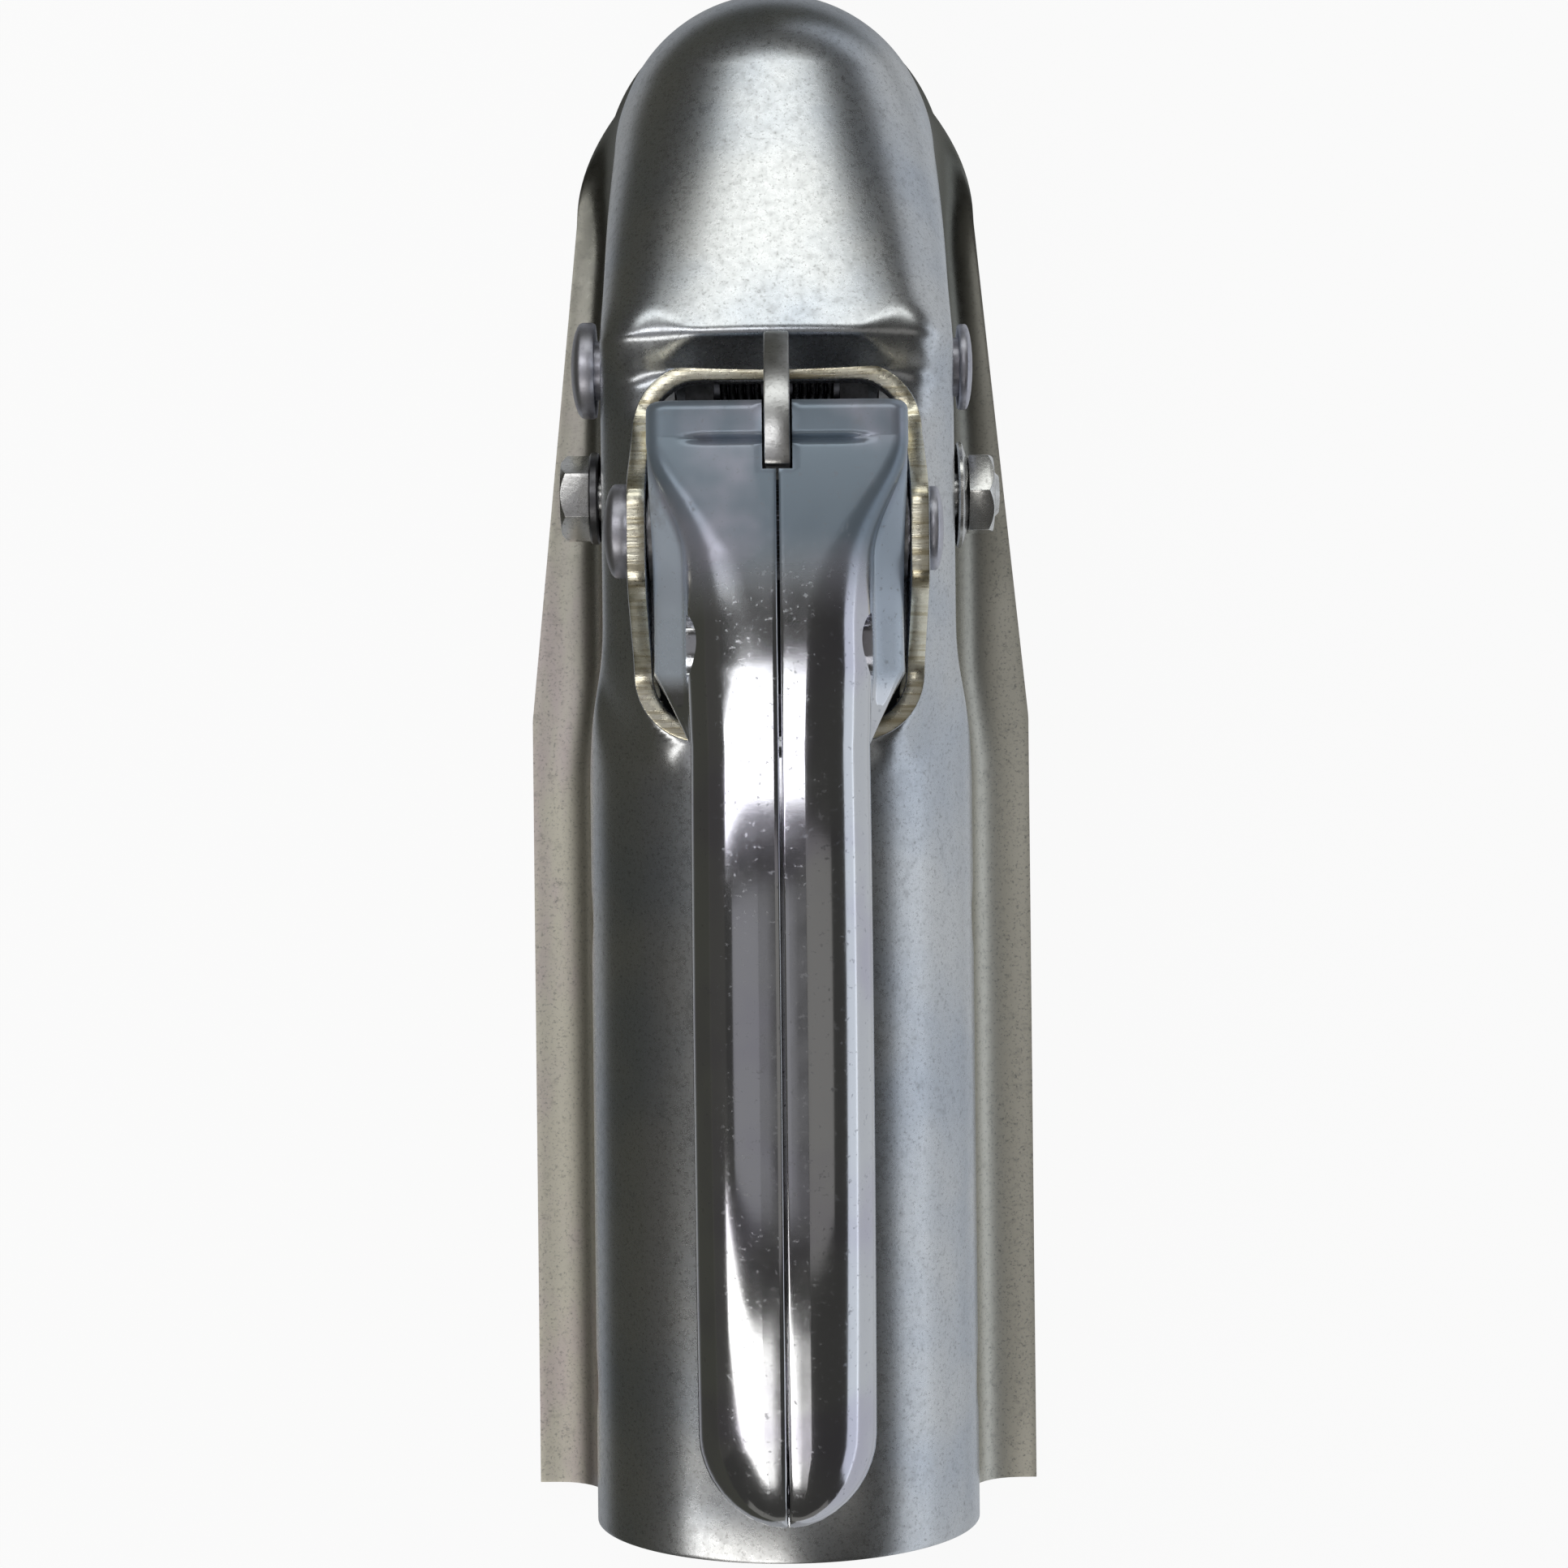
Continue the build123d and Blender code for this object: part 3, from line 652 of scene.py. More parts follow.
@dataclass(frozen=True)
class PlainMetal:
    """Metal of a small piece: two shades in clouds, flecks and a fine relief."""

    name: str
    light: Colour
    dark: Colour
    roughness: float
    swing: float = 0.16
    fleck_swing: float = 0.10
    cloud: float = 180.0
    clouded: float = 0.6
    fleck: float = 1700.0
    flecked: float = 0.35
    relief: float = 0.06

    def build(self) -> bpy.types.Material:
        """Makes the material."""
        r = Recipe(self.name)
        place = r.place()
        cloud = r.noise(place, scale=self.cloud, detail=4, rough=0.6)
        fleck = r.noise(place, scale=self.fleck, detail=2, rough=0.65)
        share = cloud.between(0.38, 0.70) * self.clouded + fleck.between(0.55, 0.72) * self.flecked
        colour = r.mix(share, self.light, self.dark)
        rough = self.roughness + (cloud - 0.5) * self.swing + (fleck - 0.5) * self.fleck_swing
        height = cloud * 0.6 + fleck * 0.4
        return r.metal(colour, rough, r.bump(height, self.relief, strength=0.6))


class Finish(Enum):
    """Finishes of the head, each with the record's slot that it stands for."""

    PRESSING = (PressingZinc(), "housing_zinc")
    CUT = (CutEdge(), "housing_zinc")
    HANDLE = (HandleZinc(), "handle_zinc")
    RIVET = (
        PlainMetal("rivet_bright", (0.60, 0.60, 0.66), (0.36, 0.35, 0.40), 0.42, relief=0.02),
        "rivet_zinc",
    )
    BOLT = (
        PlainMetal("bolt_bright", (0.80, 0.80, 0.79), (0.42, 0.41, 0.40), 0.27, flecked=0.5),
        "bolt_zinc",
    )
    WASHER = (
        PlainMetal("washer_oiled", (0.17, 0.17, 0.18), (0.07, 0.07, 0.07), 0.36), "dark_washer"
    )
    SPRING = (
        PlainMetal("spring_wire", (0.075, 0.075, 0.08), (0.03, 0.03, 0.03), 0.28), "spring_steel"
    )
    PLATE = (
        PlainMetal("plate_worn", (0.66, 0.66, 0.66), (0.26, 0.25, 0.24), 0.34, relief=0.1),
        "arm_plate",
    )
    FORGED = (
        PlainMetal(
            "forging_greased", (0.24, 0.24, 0.25), (0.10, 0.10, 0.10), 0.42,
            cloud=300.0, relief=0.12,
        ),
        "forged_steel",
    )

    def material(self) -> bpy.types.Material:
        """The material, made the first time it is asked for."""
        recipe, _ = self.value
        return bpy.data.materials.get(recipe.name) or recipe.build()

    @property
    def slot(self) -> str:
        """Name of the record's material slot."""
        return self.value[1]


def clad(piece: Piece, *finishes: Finish) -> None:
    """Gives a piece its finishes, the first of them all over."""
    piece.data.materials.clear()
    for finish in finishes:
        piece.data.materials.append(finish.material())


def mount(piece: Piece, body: str, finish: Finish, *nodes: str) -> None:
    """Sets a finished piece on its body in place of the solids that it stands for.

    Args:
        piece: The finished piece.
        body: Name of the body that it moves with.
        finish: Not used.
        *nodes: Names of the solids that it replaces.
    """
    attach(piece, body)
    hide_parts(*nodes)
    LOG.info("%s: %d faces, on %s", piece.name, len(piece.data.polygons), body)


@dataclass
class Housing:
    """The pressed sheet: ball dome, hood, box, round channel, spread flange and upturned ears."""

    cup_r: float = 25.15
    sheet: float = 3.0
    floor_z: float = -15.0
    slope: float = radians(22.0)
    crease: float = -38.3
    crease_round: float = 1.0
    crease_spread: float = 5.0
    crease_ends: Pair = (13.0, 23.0)
    crease_reach: float = 8.0
    wall_x: float = 31.0
    shoulder_r: float = 9.0
    join_angle: float = 5.0
    round_join: float = 45.0
    box_end: float = -88.0
    arch_start: float = -112.0
    rear: float = -239.0
    tube_z: float = 12.0
    arch_r: float = 33.2
    end_bend: float = -229.0
    end_fall: float = 0.0065
    lip_reach: float = 2.82
    lip_lift: float = 0.4
    lip_lean: float = 45.0
    skirt: float = -9.0
    skirt_x: float = 36.2
    flange: float = -100.0
    flange_x: float = 45.3
    flange_bend_r: float = 9.0
    flange_bend_share: float = 0.8
    rim_front: float = -45.4
    rim_rear: float = -102.0
    rim_x: float = 20.8
    rim_corner: float = 8.0
    rim_lip: float = 1.9
    rim_trim: float = 0.7
    pocket_depth: float = 7.8
    pocket_run: float = 7.1
    pocket_round: float = 1.5
    pocket_end: Pair = (-89.0, -111.0)
    pocket_side: Pair = (20.0, 36.0)
    ear_top: float = 63.0
    ear_line: tuple[float, float, float, float] = (-52.6, -64.6, -80.4, -93.0)
    ear_blur: float = 0.7
    ear_samples: int = 4
    foot_run: float = 6.5
    foot_rise: float = 5.5
    foot_curve: float = 1.4
    foot_room: float = 0.8
    cross_holes: tuple[Pair, Pair] = ((-135.0, 12.0), (-215.0, 12.0))
    cross_hole_d: float = 12.5
    cross_drill: float = 120.0
    draft: float = 0.0019
    draft_z: float = 8.0
    draft_front: Pair = (0.0, -30.0)
    draft_rear: Pair = (-84.0, -106.0)
    edge_r: float = 0.35
    collar_edge_r: float = 0.45
    collar_cut: Pair = (0.5, 2.5)
    steps: tuple[int, int, int, int, int] = (3, 8, 8, 14, 30)
    fan: int = 60
    fine_rows: Pair = (-33.0, -106.0)
    row_counts: tuple[int, ...] = (28, 92, 5, 12, 16)
    rim_arc: int = 12
    rim_steps: tuple[int, int] = (14, 56)

    def __post_init__(self) -> None:
        """Works out the sizes that follow from the others."""
        self.dome_r = self.cup_r + self.sheet
        self.join_y = self.dome_r * sin(self.slope)
        self.roof_z = self.hood_z(self.crease)
        self.rim_z = self.roof_z - self.pocket_depth

    def hood_z(self, y: float) -> float:
        """Height of the hood's slope at y."""
        return self.dome_r / cos(self.slope) - y * tan(self.slope)

    def lip_x(self, y: float) -> float:
        """Half width over the lower flange."""
        front = sqrt((self.dome_r + self.lip_reach) ** 2 - self.join_y ** 2)
        if y > self.skirt:
            u = (y - self.skirt) / (self.join_y - self.skirt)
            return blend(self.skirt_x, front, u * u)
        u = min(1.0, (self.skirt - y) / (self.skirt - self.flange))
        return blend(self.skirt_x, self.flange_x, u)

    def form(self, y: float) -> tuple[float, float, float, float]:
        """Half width, roof height, shoulder radius and roof join angle at y."""
        if y > self.crease:
            u = (self.join_y - y) / (self.join_y - self.crease)
            w = blend(self.dome_r, self.wall_x, y / self.crease)
            if y > 0:
                w = sqrt(self.dome_r ** 2 - y * y)
            join = blend(self.round_join, self.join_angle, u)
            return w, self.hood_z(y), blend(w, self.shoulder_r, u), join
        u = ramp(y, self.box_end, self.arch_start)
        w = blend(self.wall_x, self.arch_r, u)
        top = blend(self.roof_z, self.tube_z + self.arch_r, u)
        join = blend(self.join_angle, self.round_join, u)
        return w, top, blend(self.shoulder_r, self.arch_r, u), join

    def half_section(self, y: float) -> list[Pair]:
        """Outer line of the right half at y, from the lip's edge to the middle of the roof.

        Args:
            y: Place along the head.

        Returns:
            Points as (x, z), always the same number.
        """
        w, top, r, join = self.form(y)
        share = 1 - ramp(y, self.join_y, 2 * self.skirt)
        lean = radians(blend(90.0, self.lip_lean, share))
        spread = self.lip_x(y) - w
        rho = min(self.flange_bend_r, self.flange_bend_share * spread / (1 - cos(lean)))
        run = (spread - rho * (1 - cos(lean))) / sin(lean)
        low = self.floor_z + self.lip_lift * share
        low += (rho + self.sheet) * sin(lean) + run * cos(lean)
        a = radians(join)
        crown = r + (w - r) / sin(a)
        cz = top - crown + (crown - r) * cos(a)
        bx, bz = w + rho - rho * cos(lean), low - rho * sin(lean)
        lip, bend, wall, shoulder, roof = self.steps
        points: list[Pair] = []
        for i in range(lip):
            d = run * (1 - i / lip)
            points.append((bx + d * sin(lean), bz - d * cos(lean)))
        for i in range(bend):
            t = lean * (1 - i / bend)
            points.append((w + rho - rho * cos(t), low - rho * sin(t)))
        for i in range(wall):
            points.append((w, blend(low, cz, i / wall)))
        for i in range(shoulder):
            t = (pi / 2 - a) * i / shoulder
            points.append((w - r + r * cos(t), cz + r * sin(t)))
        for i in range(roof + 1):
            t = a * (1 - i / roof)
            points.append((crown * sin(t), top - crown + crown * cos(t)))
        return points

    def rim_distance(self, x: float, y: float) -> float:
        """Distance outside the roof opening's edge, negative inside it."""
        mid = (self.rim_front + self.rim_rear) / 2
        qx = abs(x) - self.rim_x + self.rim_corner
        qy = abs(y - mid) - (self.rim_front - self.rim_rear) / 2 + self.rim_corner
        return hypot(max(qx, 0), max(qy, 0)) + min(max(qx, qy), 0) - self.rim_corner

    def foot(self, away: float, room: float) -> float:
        """Rise of the sheet towards an ear, at a distance from the ear's outside."""
        u = 1 - max(0.0, away) / self.foot_run
        return max(0.0, min(self.foot_rise, room)) * max(0.0, u) ** self.foot_curve

    def sunk(self, x: float, y: float) -> float:
        """Depth by which the roof round the opening lies lower than the hood."""
        slope = (self.crease - y) * self.pocket_depth / self.pocket_run
        rounding = self.crease_round + self.crease_spread * ramp(abs(x), *self.crease_ends)
        front = soft_min(soft_max(slope, 0.0, rounding), self.pocket_depth, self.pocket_round)
        return front * (1 - ramp(y, *self.pocket_end))

    def pressed(self, x: float, y: float, z: float) -> Triple:
        """Point of the sheet after its pocket, its rear end and its draft have been pressed."""
        if self.arch_start < y < self.crease + self.crease_reach and z > self.tube_z:
            z -= self.sunk(x, y) * ramp(z, *self.pocket_side)
            room = self.ear_height(y) - z - self.foot_room
            z += self.foot(self.rim_distance(x, y) - self.sheet, room)
        if y < self.end_bend and z > self.tube_z:
            z -= self.end_fall * (self.end_bend - y) ** 2 * (z - self.tube_z) / self.arch_r
        lean = ramp(y, *self.draft_front) * (1 - ramp(y, *self.draft_rear))
        return x * (1 - self.draft * lean * max(0.0, z - self.draft_z)), y, z

    def skin(self) -> Piece:
        """The pressed sheet with its thickness, its cut edges and the drawbar bolt holes."""
        places = (self.join_y, *self.fine_rows, self.arch_start, self.end_bend, self.rear)
        rows = []
        for y in spaced(places, self.row_counts):
            rows.append([self.pressed(x, y, z) for x, z in self.half_section(y)])
        front = self.half_section(self.join_y)

        def round_dome(column: int, row: int) -> Triple:
            """Point of the dome in front."""
            x, z = front[column]
            r = hypot(x, self.join_y)
            t = acos(self.join_y / r) * (1 - 2 * row / self.fan)
            return r * sin(t), r * cos(t), z

        box = Bench.mirrored_sheet("housing_box", rows)
        dome = Bench.pressed_sheet("housing_dome", len(front) - 1, self.fan, round_dome)
        body = Bench.join("housing_sheet", box, dome)
        Bench.weld(body, near=0.02)
        Bench.cut_away(
            body, lambda c: c.z > self.tube_z and self.rim_distance(c.x, c.y) < self.rim_trim
        )
        hood = Vector((0, self.skirt, self.hood_z(self.skirt))) * MM
        Bench.face_up(body, min(body.data.polygons, key=lambda f: (f.center - hood).length))
        clad(body, Finish.PRESSING, Finish.CUT)
        Bench.modify(
            body, "SOLIDIFY", thickness=self.sheet * MM, offset=-1.0, use_even_offset=True,
            material_offset_rim=1,
        )
        for hole in self.cross_holes:
            Bench.drill(body, (0, *hole), self.cross_hole_d / 2, self.cross_drill)
        Bench.round_edges(body, self.edge_r, angle=50)
        return body

    def rail(self) -> list[tuple[float, float, float, float]]:
        """Line round the roof opening: corner-circle centres and outward directions."""
        cx = self.rim_x - self.rim_corner
        front, rear = self.rim_front - self.rim_corner, self.rim_rear + self.rim_corner
        corners = ((cx, front, 0.0), (-cx, front, 90.0), (-cx, rear, 180.0), (cx, rear, 270.0))
        points = []
        for k, (x, y, start) in enumerate(corners):
            for i in range(self.rim_arc + 1):
                t = radians(start + 90 * i / self.rim_arc)
                points.append((x, y, cos(t), sin(t)))
            nx, ny, _ = corners[(k + 1) % 4]
            count = self.rim_steps[k % 2]
            t = radians(start + 90)
            for i in range(1, count):
                points.append((blend(x, nx, i / count), blend(y, ny, i / count), cos(t), sin(t)))
        return points + points[:1]

    def ear_height(self, y: float) -> float:
        """Height of the upturned edge at y, with its corners rounded."""
        low = self.rim_z + self.rim_lip
        a, b, c, d = self.ear_line

        def sharp(at: float) -> float:
            """The same with sharp corners."""
            if at > b:
                return blend(low, self.ear_top, held((a - at) / (a - b)))
            return blend(low + self.sheet, self.ear_top, held((at - d) / (c - d)))

        near = range(-self.ear_samples, self.ear_samples + 1)
        return sum(sharp(y + self.ear_blur * k) for k in near) / len(near)

    def collar(self) -> Piece:
        """Upturned edge round the roof opening, which grows into the two ears."""
        rail = self.rail()
        bottom = self.rim_z - self.sheet
        from_x, to_x = self.collar_cut

        def edge(column: int, row: int) -> Triple:
            """Point of the collar's outside, top and inside."""
            cx, cy, nx, ny = rail[column]
            out = self.rim_corner + (self.sheet, self.sheet, 0.0, 0.0, self.sheet)[row]
            x, y = cx + nx * out, cy + ny * out
            top = self.ear_height(cy + ny * self.rim_corner)
            return x, y, (bottom, top, top, bottom, bottom)[row]

        band = Bench.pressed_sheet("housing_collar", len(rail) - 1, 4, edge)
        Bench.weld(band, near=0.02)
        clad(band, Finish.PRESSING, Finish.CUT)
        for face in band.data.polygons:
            c = face.center / MM
            if from_x < self.rim_distance(c.x, c.y) < to_x and c.z > bottom + 1:
                face.material_index = 1
        Bench.round_edges(band, self.collar_edge_r, angle=50)
        return band

    def build(self) -> None:
        """Makes the housing and sets it on its body."""
        piece = Bench.join("housing_pressing", self.skin(), self.collar())
        Bench.smooth(piece, angle=40)
        mount(piece, "housing_body", Finish.PRESSING, "housing")


@dataclass
class LiftHandle:
    """The folded handle: slotted nose, cheeks with a padlock hole, hollow grip with a butt seam."""

    nose: float = -52.0
    nose_top: float = 66.0
    nose_low: float = 57.0
    nose_edge_r: float = 1.8
    nose_end: float = -61.0
    nose_fall: float = 0.6
    nose_side: float = 6.5
    roll_in: float = 0.8
    roll_edge: float = 0.12
    roll_foot: float = 0.22
    roll_crown: float = 0.7
    roll_low: float = 0.08
    roll_low_r: float = 0.6
    taper: float = -58.0
    taper_end: float = -77.0
    cheek_top: float = 62.6
    cheek_rear: float = 57.5
    cheek_fall: Pair = (-74.0, -87.0)
    cheek_r: float = 2.0
    cheek_low_r: float = 1.0
    cheek_x: float = 20.45
    cheek_in: float = 0.7
    cheek_low: float = 44.0
    cheek_end: float = -92.0
    turn_start: float = -94.0
    foot_rise: Pair = (0.5, 3.6)
    foot_in: float = 0.16
    valley_r: float = 3.5
    grip_start: float = -106.0
    grip_end: float = -226.5
    grip_x: float = 13.8
    grip_h: float = 17.0
    grip_side: float = 5.5
    grip_top: float = 85.0
    grip_peak: float = -150.0
    crown_r: float = 10.1
    crown_run: float = 30.0
    crown_gap: float = 0.8
    under_r: float = 4.0
    edge_r: float = 3.0
    keel_room: Pair = (0.9, 0.45)
    bend_room: Pair = (0.45, 0.45)
    valley_room: Pair = (0.45, 0.06)
    crown_room: Pair = (0.93, 0.9)
    tip_x: float = 0.4
    tip_shrink: float = 0.3
    tip_curve: float = 2.5
    tip_edge: float = 5.2
    tip_foot: float = 5.7
    tip_gap: float = 6.5
    tip_crown: float = 0.76
    tip_under: float = 0.3
    tip_close: float = 0.05
    wall: float = 2.5
    slot_x: float = 2.35
    slot_end: float = -63.3
    slot_share: float = 0.7
    groove: float = -58.4
    groove_x: float = 12.8
    groove_fade: float = 0.6
    groove_w: float = 0.55
    groove_reach: float = 1.5
    groove_depth: float = 1.4
    seam_depth: float = 0.7
    seam_w: float = 0.25
    seam_curve: float = 1.5
    seam_x: float = 0.12
    seam_places: tuple[float, ...] = (1.0, 0.45, 0.28, 0.17, 0.09, 0.0)
    seam_zone: float = 3.0
    open_end: float = -100.0
    open_low: float = 0.9
    open_side: float = 0.4
    margin: float = 1.0
    lock_hole: Triple = (0.0, -91.0, 68.0)
    lock_hole_d: float = 10.8
    bush_d: float = 16.0
    rim_r: float = 0.3
    steps: tuple[int, int, int, int, int] = (4, 4, 4, 14, 10)
    row_counts: tuple[int, ...] = (3, 16, 5, 34, 20, 40)
    roll: int = 6
    tip: int = 10

    def top_line(self, y: float) -> float:
        """Height of the bowed top line at y."""
        bow = (self.grip_top - self.nose_top) / (self.grip_peak - self.nose) ** 2
        if y > self.taper:
            fall = 2 * bow * (self.taper - self.grip_peak)
            return self.top_line(self.taper) - self.nose_fall * fall * (y - self.taper)
        return self.grip_top - bow * (y - self.grip_peak) ** 2

    def low_edge(self, y: float) -> float:
        """Lower edge of the nose, cheeks and grip at y."""
        if y > self.nose_end:
            u = (y - self.nose_end) / (self.nose - self.wall - self.nose_end)
            return blend(self.cheek_low, self.nose_low, held(u))
        u = (self.cheek_end - y) / (self.cheek_end - self.grip_start)
        return blend(self.cheek_low, self.top_line(y) - self.grip_h, held(u))

    def outline(
        self, top: Pair, low: Pair, edge: Pair, foot: Pair, crown_r: float, low_r: float
    ) -> list[Pair]:
        """Right half of a section, from the middle below to the middle above.

        Args:
            top: Half width and height at the top.
            low: Half width and height at the underside.
            edge: Outer edge of the cheek, above its upright wall.
            foot: Place where the crown's side meets the cheek.
            crown_r: Radius of the crown's corner.
            low_r: Radius of the lower corner.

        Returns:
            Points as (x, z), always the same number.
        """
        under, low_arc, side, top_arc, over = self.steps
        keel = corner_arc((0, low[1]), low, edge, low_r, low_arc, self.keel_room)
        bend = corner_arc(low, edge, foot, self.cheek_r, low_arc, self.bend_room)
        valley = corner_arc(edge, foot, top, self.valley_r, low_arc, self.valley_room)
        crown = corner_arc(foot, top, (0, top[1]), crown_r, top_arc, self.crown_room)
        points = [(keel[0][0] * i / under, low[1]) for i in range(under)]
        for arc, after in ((keel, bend), (bend, valley), (valley, crown)):
            points += arc[:-1]
            (ax, az), (bx, bz) = arc[-1], after[0]
            points += [(blend(ax, bx, i / side), blend(az, bz, i / side)) for i in range(side)]
        points += crown[:-1]
        inner = min(self.slot_x, self.slot_share * crown[-1][0])
        points += [(blend(crown[-1][0], inner, i / over), top[1]) for i in range(over)]
        return points + [(inner * place, top[1]) for place in self.seam_places]

    def section(self, y: float) -> list[Pair]:
        """Right half of the section at y, between the rolled nose and the rounded tip."""
        top, low = self.top_line(y), self.low_edge(y)
        narrow = ramp(y, self.taper, self.taper_end)
        turn = held((self.turn_start - y) / (self.turn_start - self.grip_start))
        top_x = blend(self.cheek_x, self.grip_x, narrow)
        low_x = blend(self.cheek_x, self.grip_x, turn)
        edge_x = blend(blend(self.cheek_x, self.cheek_x - self.cheek_in, narrow), self.grip_x, turn)
        shoulder = blend(self.cheek_top, self.cheek_rear, ramp(y, *self.cheek_fall))
        edge_z = blend(top - self.nose_side, shoulder, narrow)
        edge_z = blend(edge_z, low + self.grip_side, ease(turn))
        foot_z = edge_z + blend(*self.foot_rise, narrow * (1 - turn))
        foot_x = blend(top_x, edge_x, self.foot_in)
        crown_r = blend(self.edge_r, self.crown_r, ramp(y, self.taper, self.taper - self.crown_run))
        return self.outline(
            (top_x, top), (low_x, low), (edge_x, edge_z), (foot_x, foot_z),
            min(crown_r, top - foot_z - self.crown_gap),
            blend(self.cheek_low_r, self.under_r, turn),
        )

    def nose_rows(self) -> list[list[Triple]]:
        """Front plate of the nose and the rolled edge above it."""
        rows = []
        r = self.nose_edge_r
        for i in range(self.roll, 0, -1):
            t = pi / 2 * i / self.roll
            y = self.nose - r + r * sin(t)
            drop = r * (1 - cos(t))
            x = self.cheek_x - self.roll_in * drop
            top, low = self.top_line(y) - drop, self.low_edge(y)
            tall = top - low
            edge, foot = low + self.roll_edge * tall, low + self.roll_foot * tall
            line = self.outline(
                (x, top), (x, low), (x, edge), (x, foot),
                min(self.edge_r, self.roll_crown * tall),
                min(self.roll_low_r, self.roll_low * tall),
            )
            rows.append([(px, y, pz) for px, pz in line])
        plate = []
        for share in (1.0, 0.5):
            plate.append([(px, y, blend(pz, self.nose_low, share)) for px, y, pz in rows[0]])
        return plate + rows

    def tip_rows(self) -> list[list[Triple]]:
        """The rounded end of the grip."""
        rows = []
        for i in range(1, self.tip + 1):
            t = pi / 2 * i / self.tip
            y = self.grip_end + self.grip_x * (1 - sin(t))
            half = max(self.tip_x, self.grip_x * cos(t))
            shrink = self.tip_shrink * self.grip_x * (1 - half / self.grip_x) ** self.tip_curve
            top, low = self.top_line(y) - shrink, self.top_line(y) - self.grip_h + shrink
            line = self.outline(
                (half, top), (half, low), (half, low + self.tip_edge), (half, low + self.tip_foot),
                min(self.crown_r, self.tip_crown * half, top - low - self.tip_gap),
                min(self.under_r, self.tip_under * half),
            )
            rows.append([(px, y, pz) for px, pz in line])
        rows.append([(0.0, y - self.tip_close, pz) for _, y, pz in rows[-1]])
        return rows

    def dented(self, x: float, y: float, z: float) -> Triple:
        """Point of the top with the seam's rolled-in edges and the nose's two grooves."""
        if y < self.slot_end:
            z -= self.seam_depth * exp(-((abs(x) / self.seam_w) ** self.seam_curve))
        if abs(y - self.groove) <= self.groove_reach + self.groove_w:
            outer = self.groove_x + self.groove_fade
            ends = ramp(abs(x), outer, self.groove_x - self.groove_fade)
            z -= self.groove_depth * ends * exp(-(((y - self.groove) / self.groove_w) ** 2))
        return x, y, z

    def gone(self, c: Vector) -> bool:
        """Slot in the nose, the seam's slit and the open underside in front of the grip."""
        x = abs(c.x)
        if c.y > self.slot_end:
            cut = x < self.slot_x and c.z > self.nose_low - self.margin
        else:
            on_top = c.z > self.top_line(c.y) - self.seam_zone
            cut = x < self.seam_x and on_top and self.grip_end + self.margin < c.y
        low = c.y > self.open_end and c.z < self.low_edge(c.y) + self.open_low
        return cut or (low and x < self.cheek_x - self.open_side)

    def sheet(self) -> Piece:
        """The folded sheet with its thickness and holes."""
        places = (
            self.nose - self.nose_edge_r, self.groove + self.groove_reach,
            self.groove - self.groove_reach, self.slot_end, self.cheek_end, self.grip_start,
            self.grip_end + self.grip_x,
        )
        under, low_arc, side, _, _ = self.steps
        crown = under + 3 * (low_arc + side)
        rows = self.nose_rows()
        for y in spaced(places, self.row_counts):
            rows.append([(x, y, z) for x, z in self.section(y)])
        rows += self.tip_rows()
        rows = [row[:crown] + [self.dented(*point) for point in row[crown:]] for row in rows]
        sheet = Bench.mirrored_sheet("handle_folding", rows)
        Bench.weld(sheet, near=0.01)
        Bench.cut_away(sheet, self.gone)
        Bench.face_up(sheet, max(sheet.data.polygons, key=lambda f: f.center.z))
        Bench.modify(
            sheet, "SOLIDIFY", thickness=self.wall * MM, offset=-1.0, use_even_offset=False
        )
        for vertex in sheet.data.vertices:
            vertex.co.x = max(-self.cheek_x * MM, min(self.cheek_x * MM, vertex.co.x))
            vertex.co.y = min(self.nose * MM, vertex.co.y)
        Bench.drill(sheet, self.lock_hole, self.lock_hole_d / 2)
        Bench.drill(sheet, (0, *HANDLE_PIN), self.bush_d / 2)
        Bench.round_edges(sheet, self.rim_r, angle=55)
        return sheet

    def build(self) -> None:
        """Makes the handle and sets it on its body."""
        piece = self.sheet()
        clad(piece, Finish.HANDLE)
        Bench.smooth(piece, angle=40)
        mount(piece, "handle_body", Finish.HANDLE, "handle")


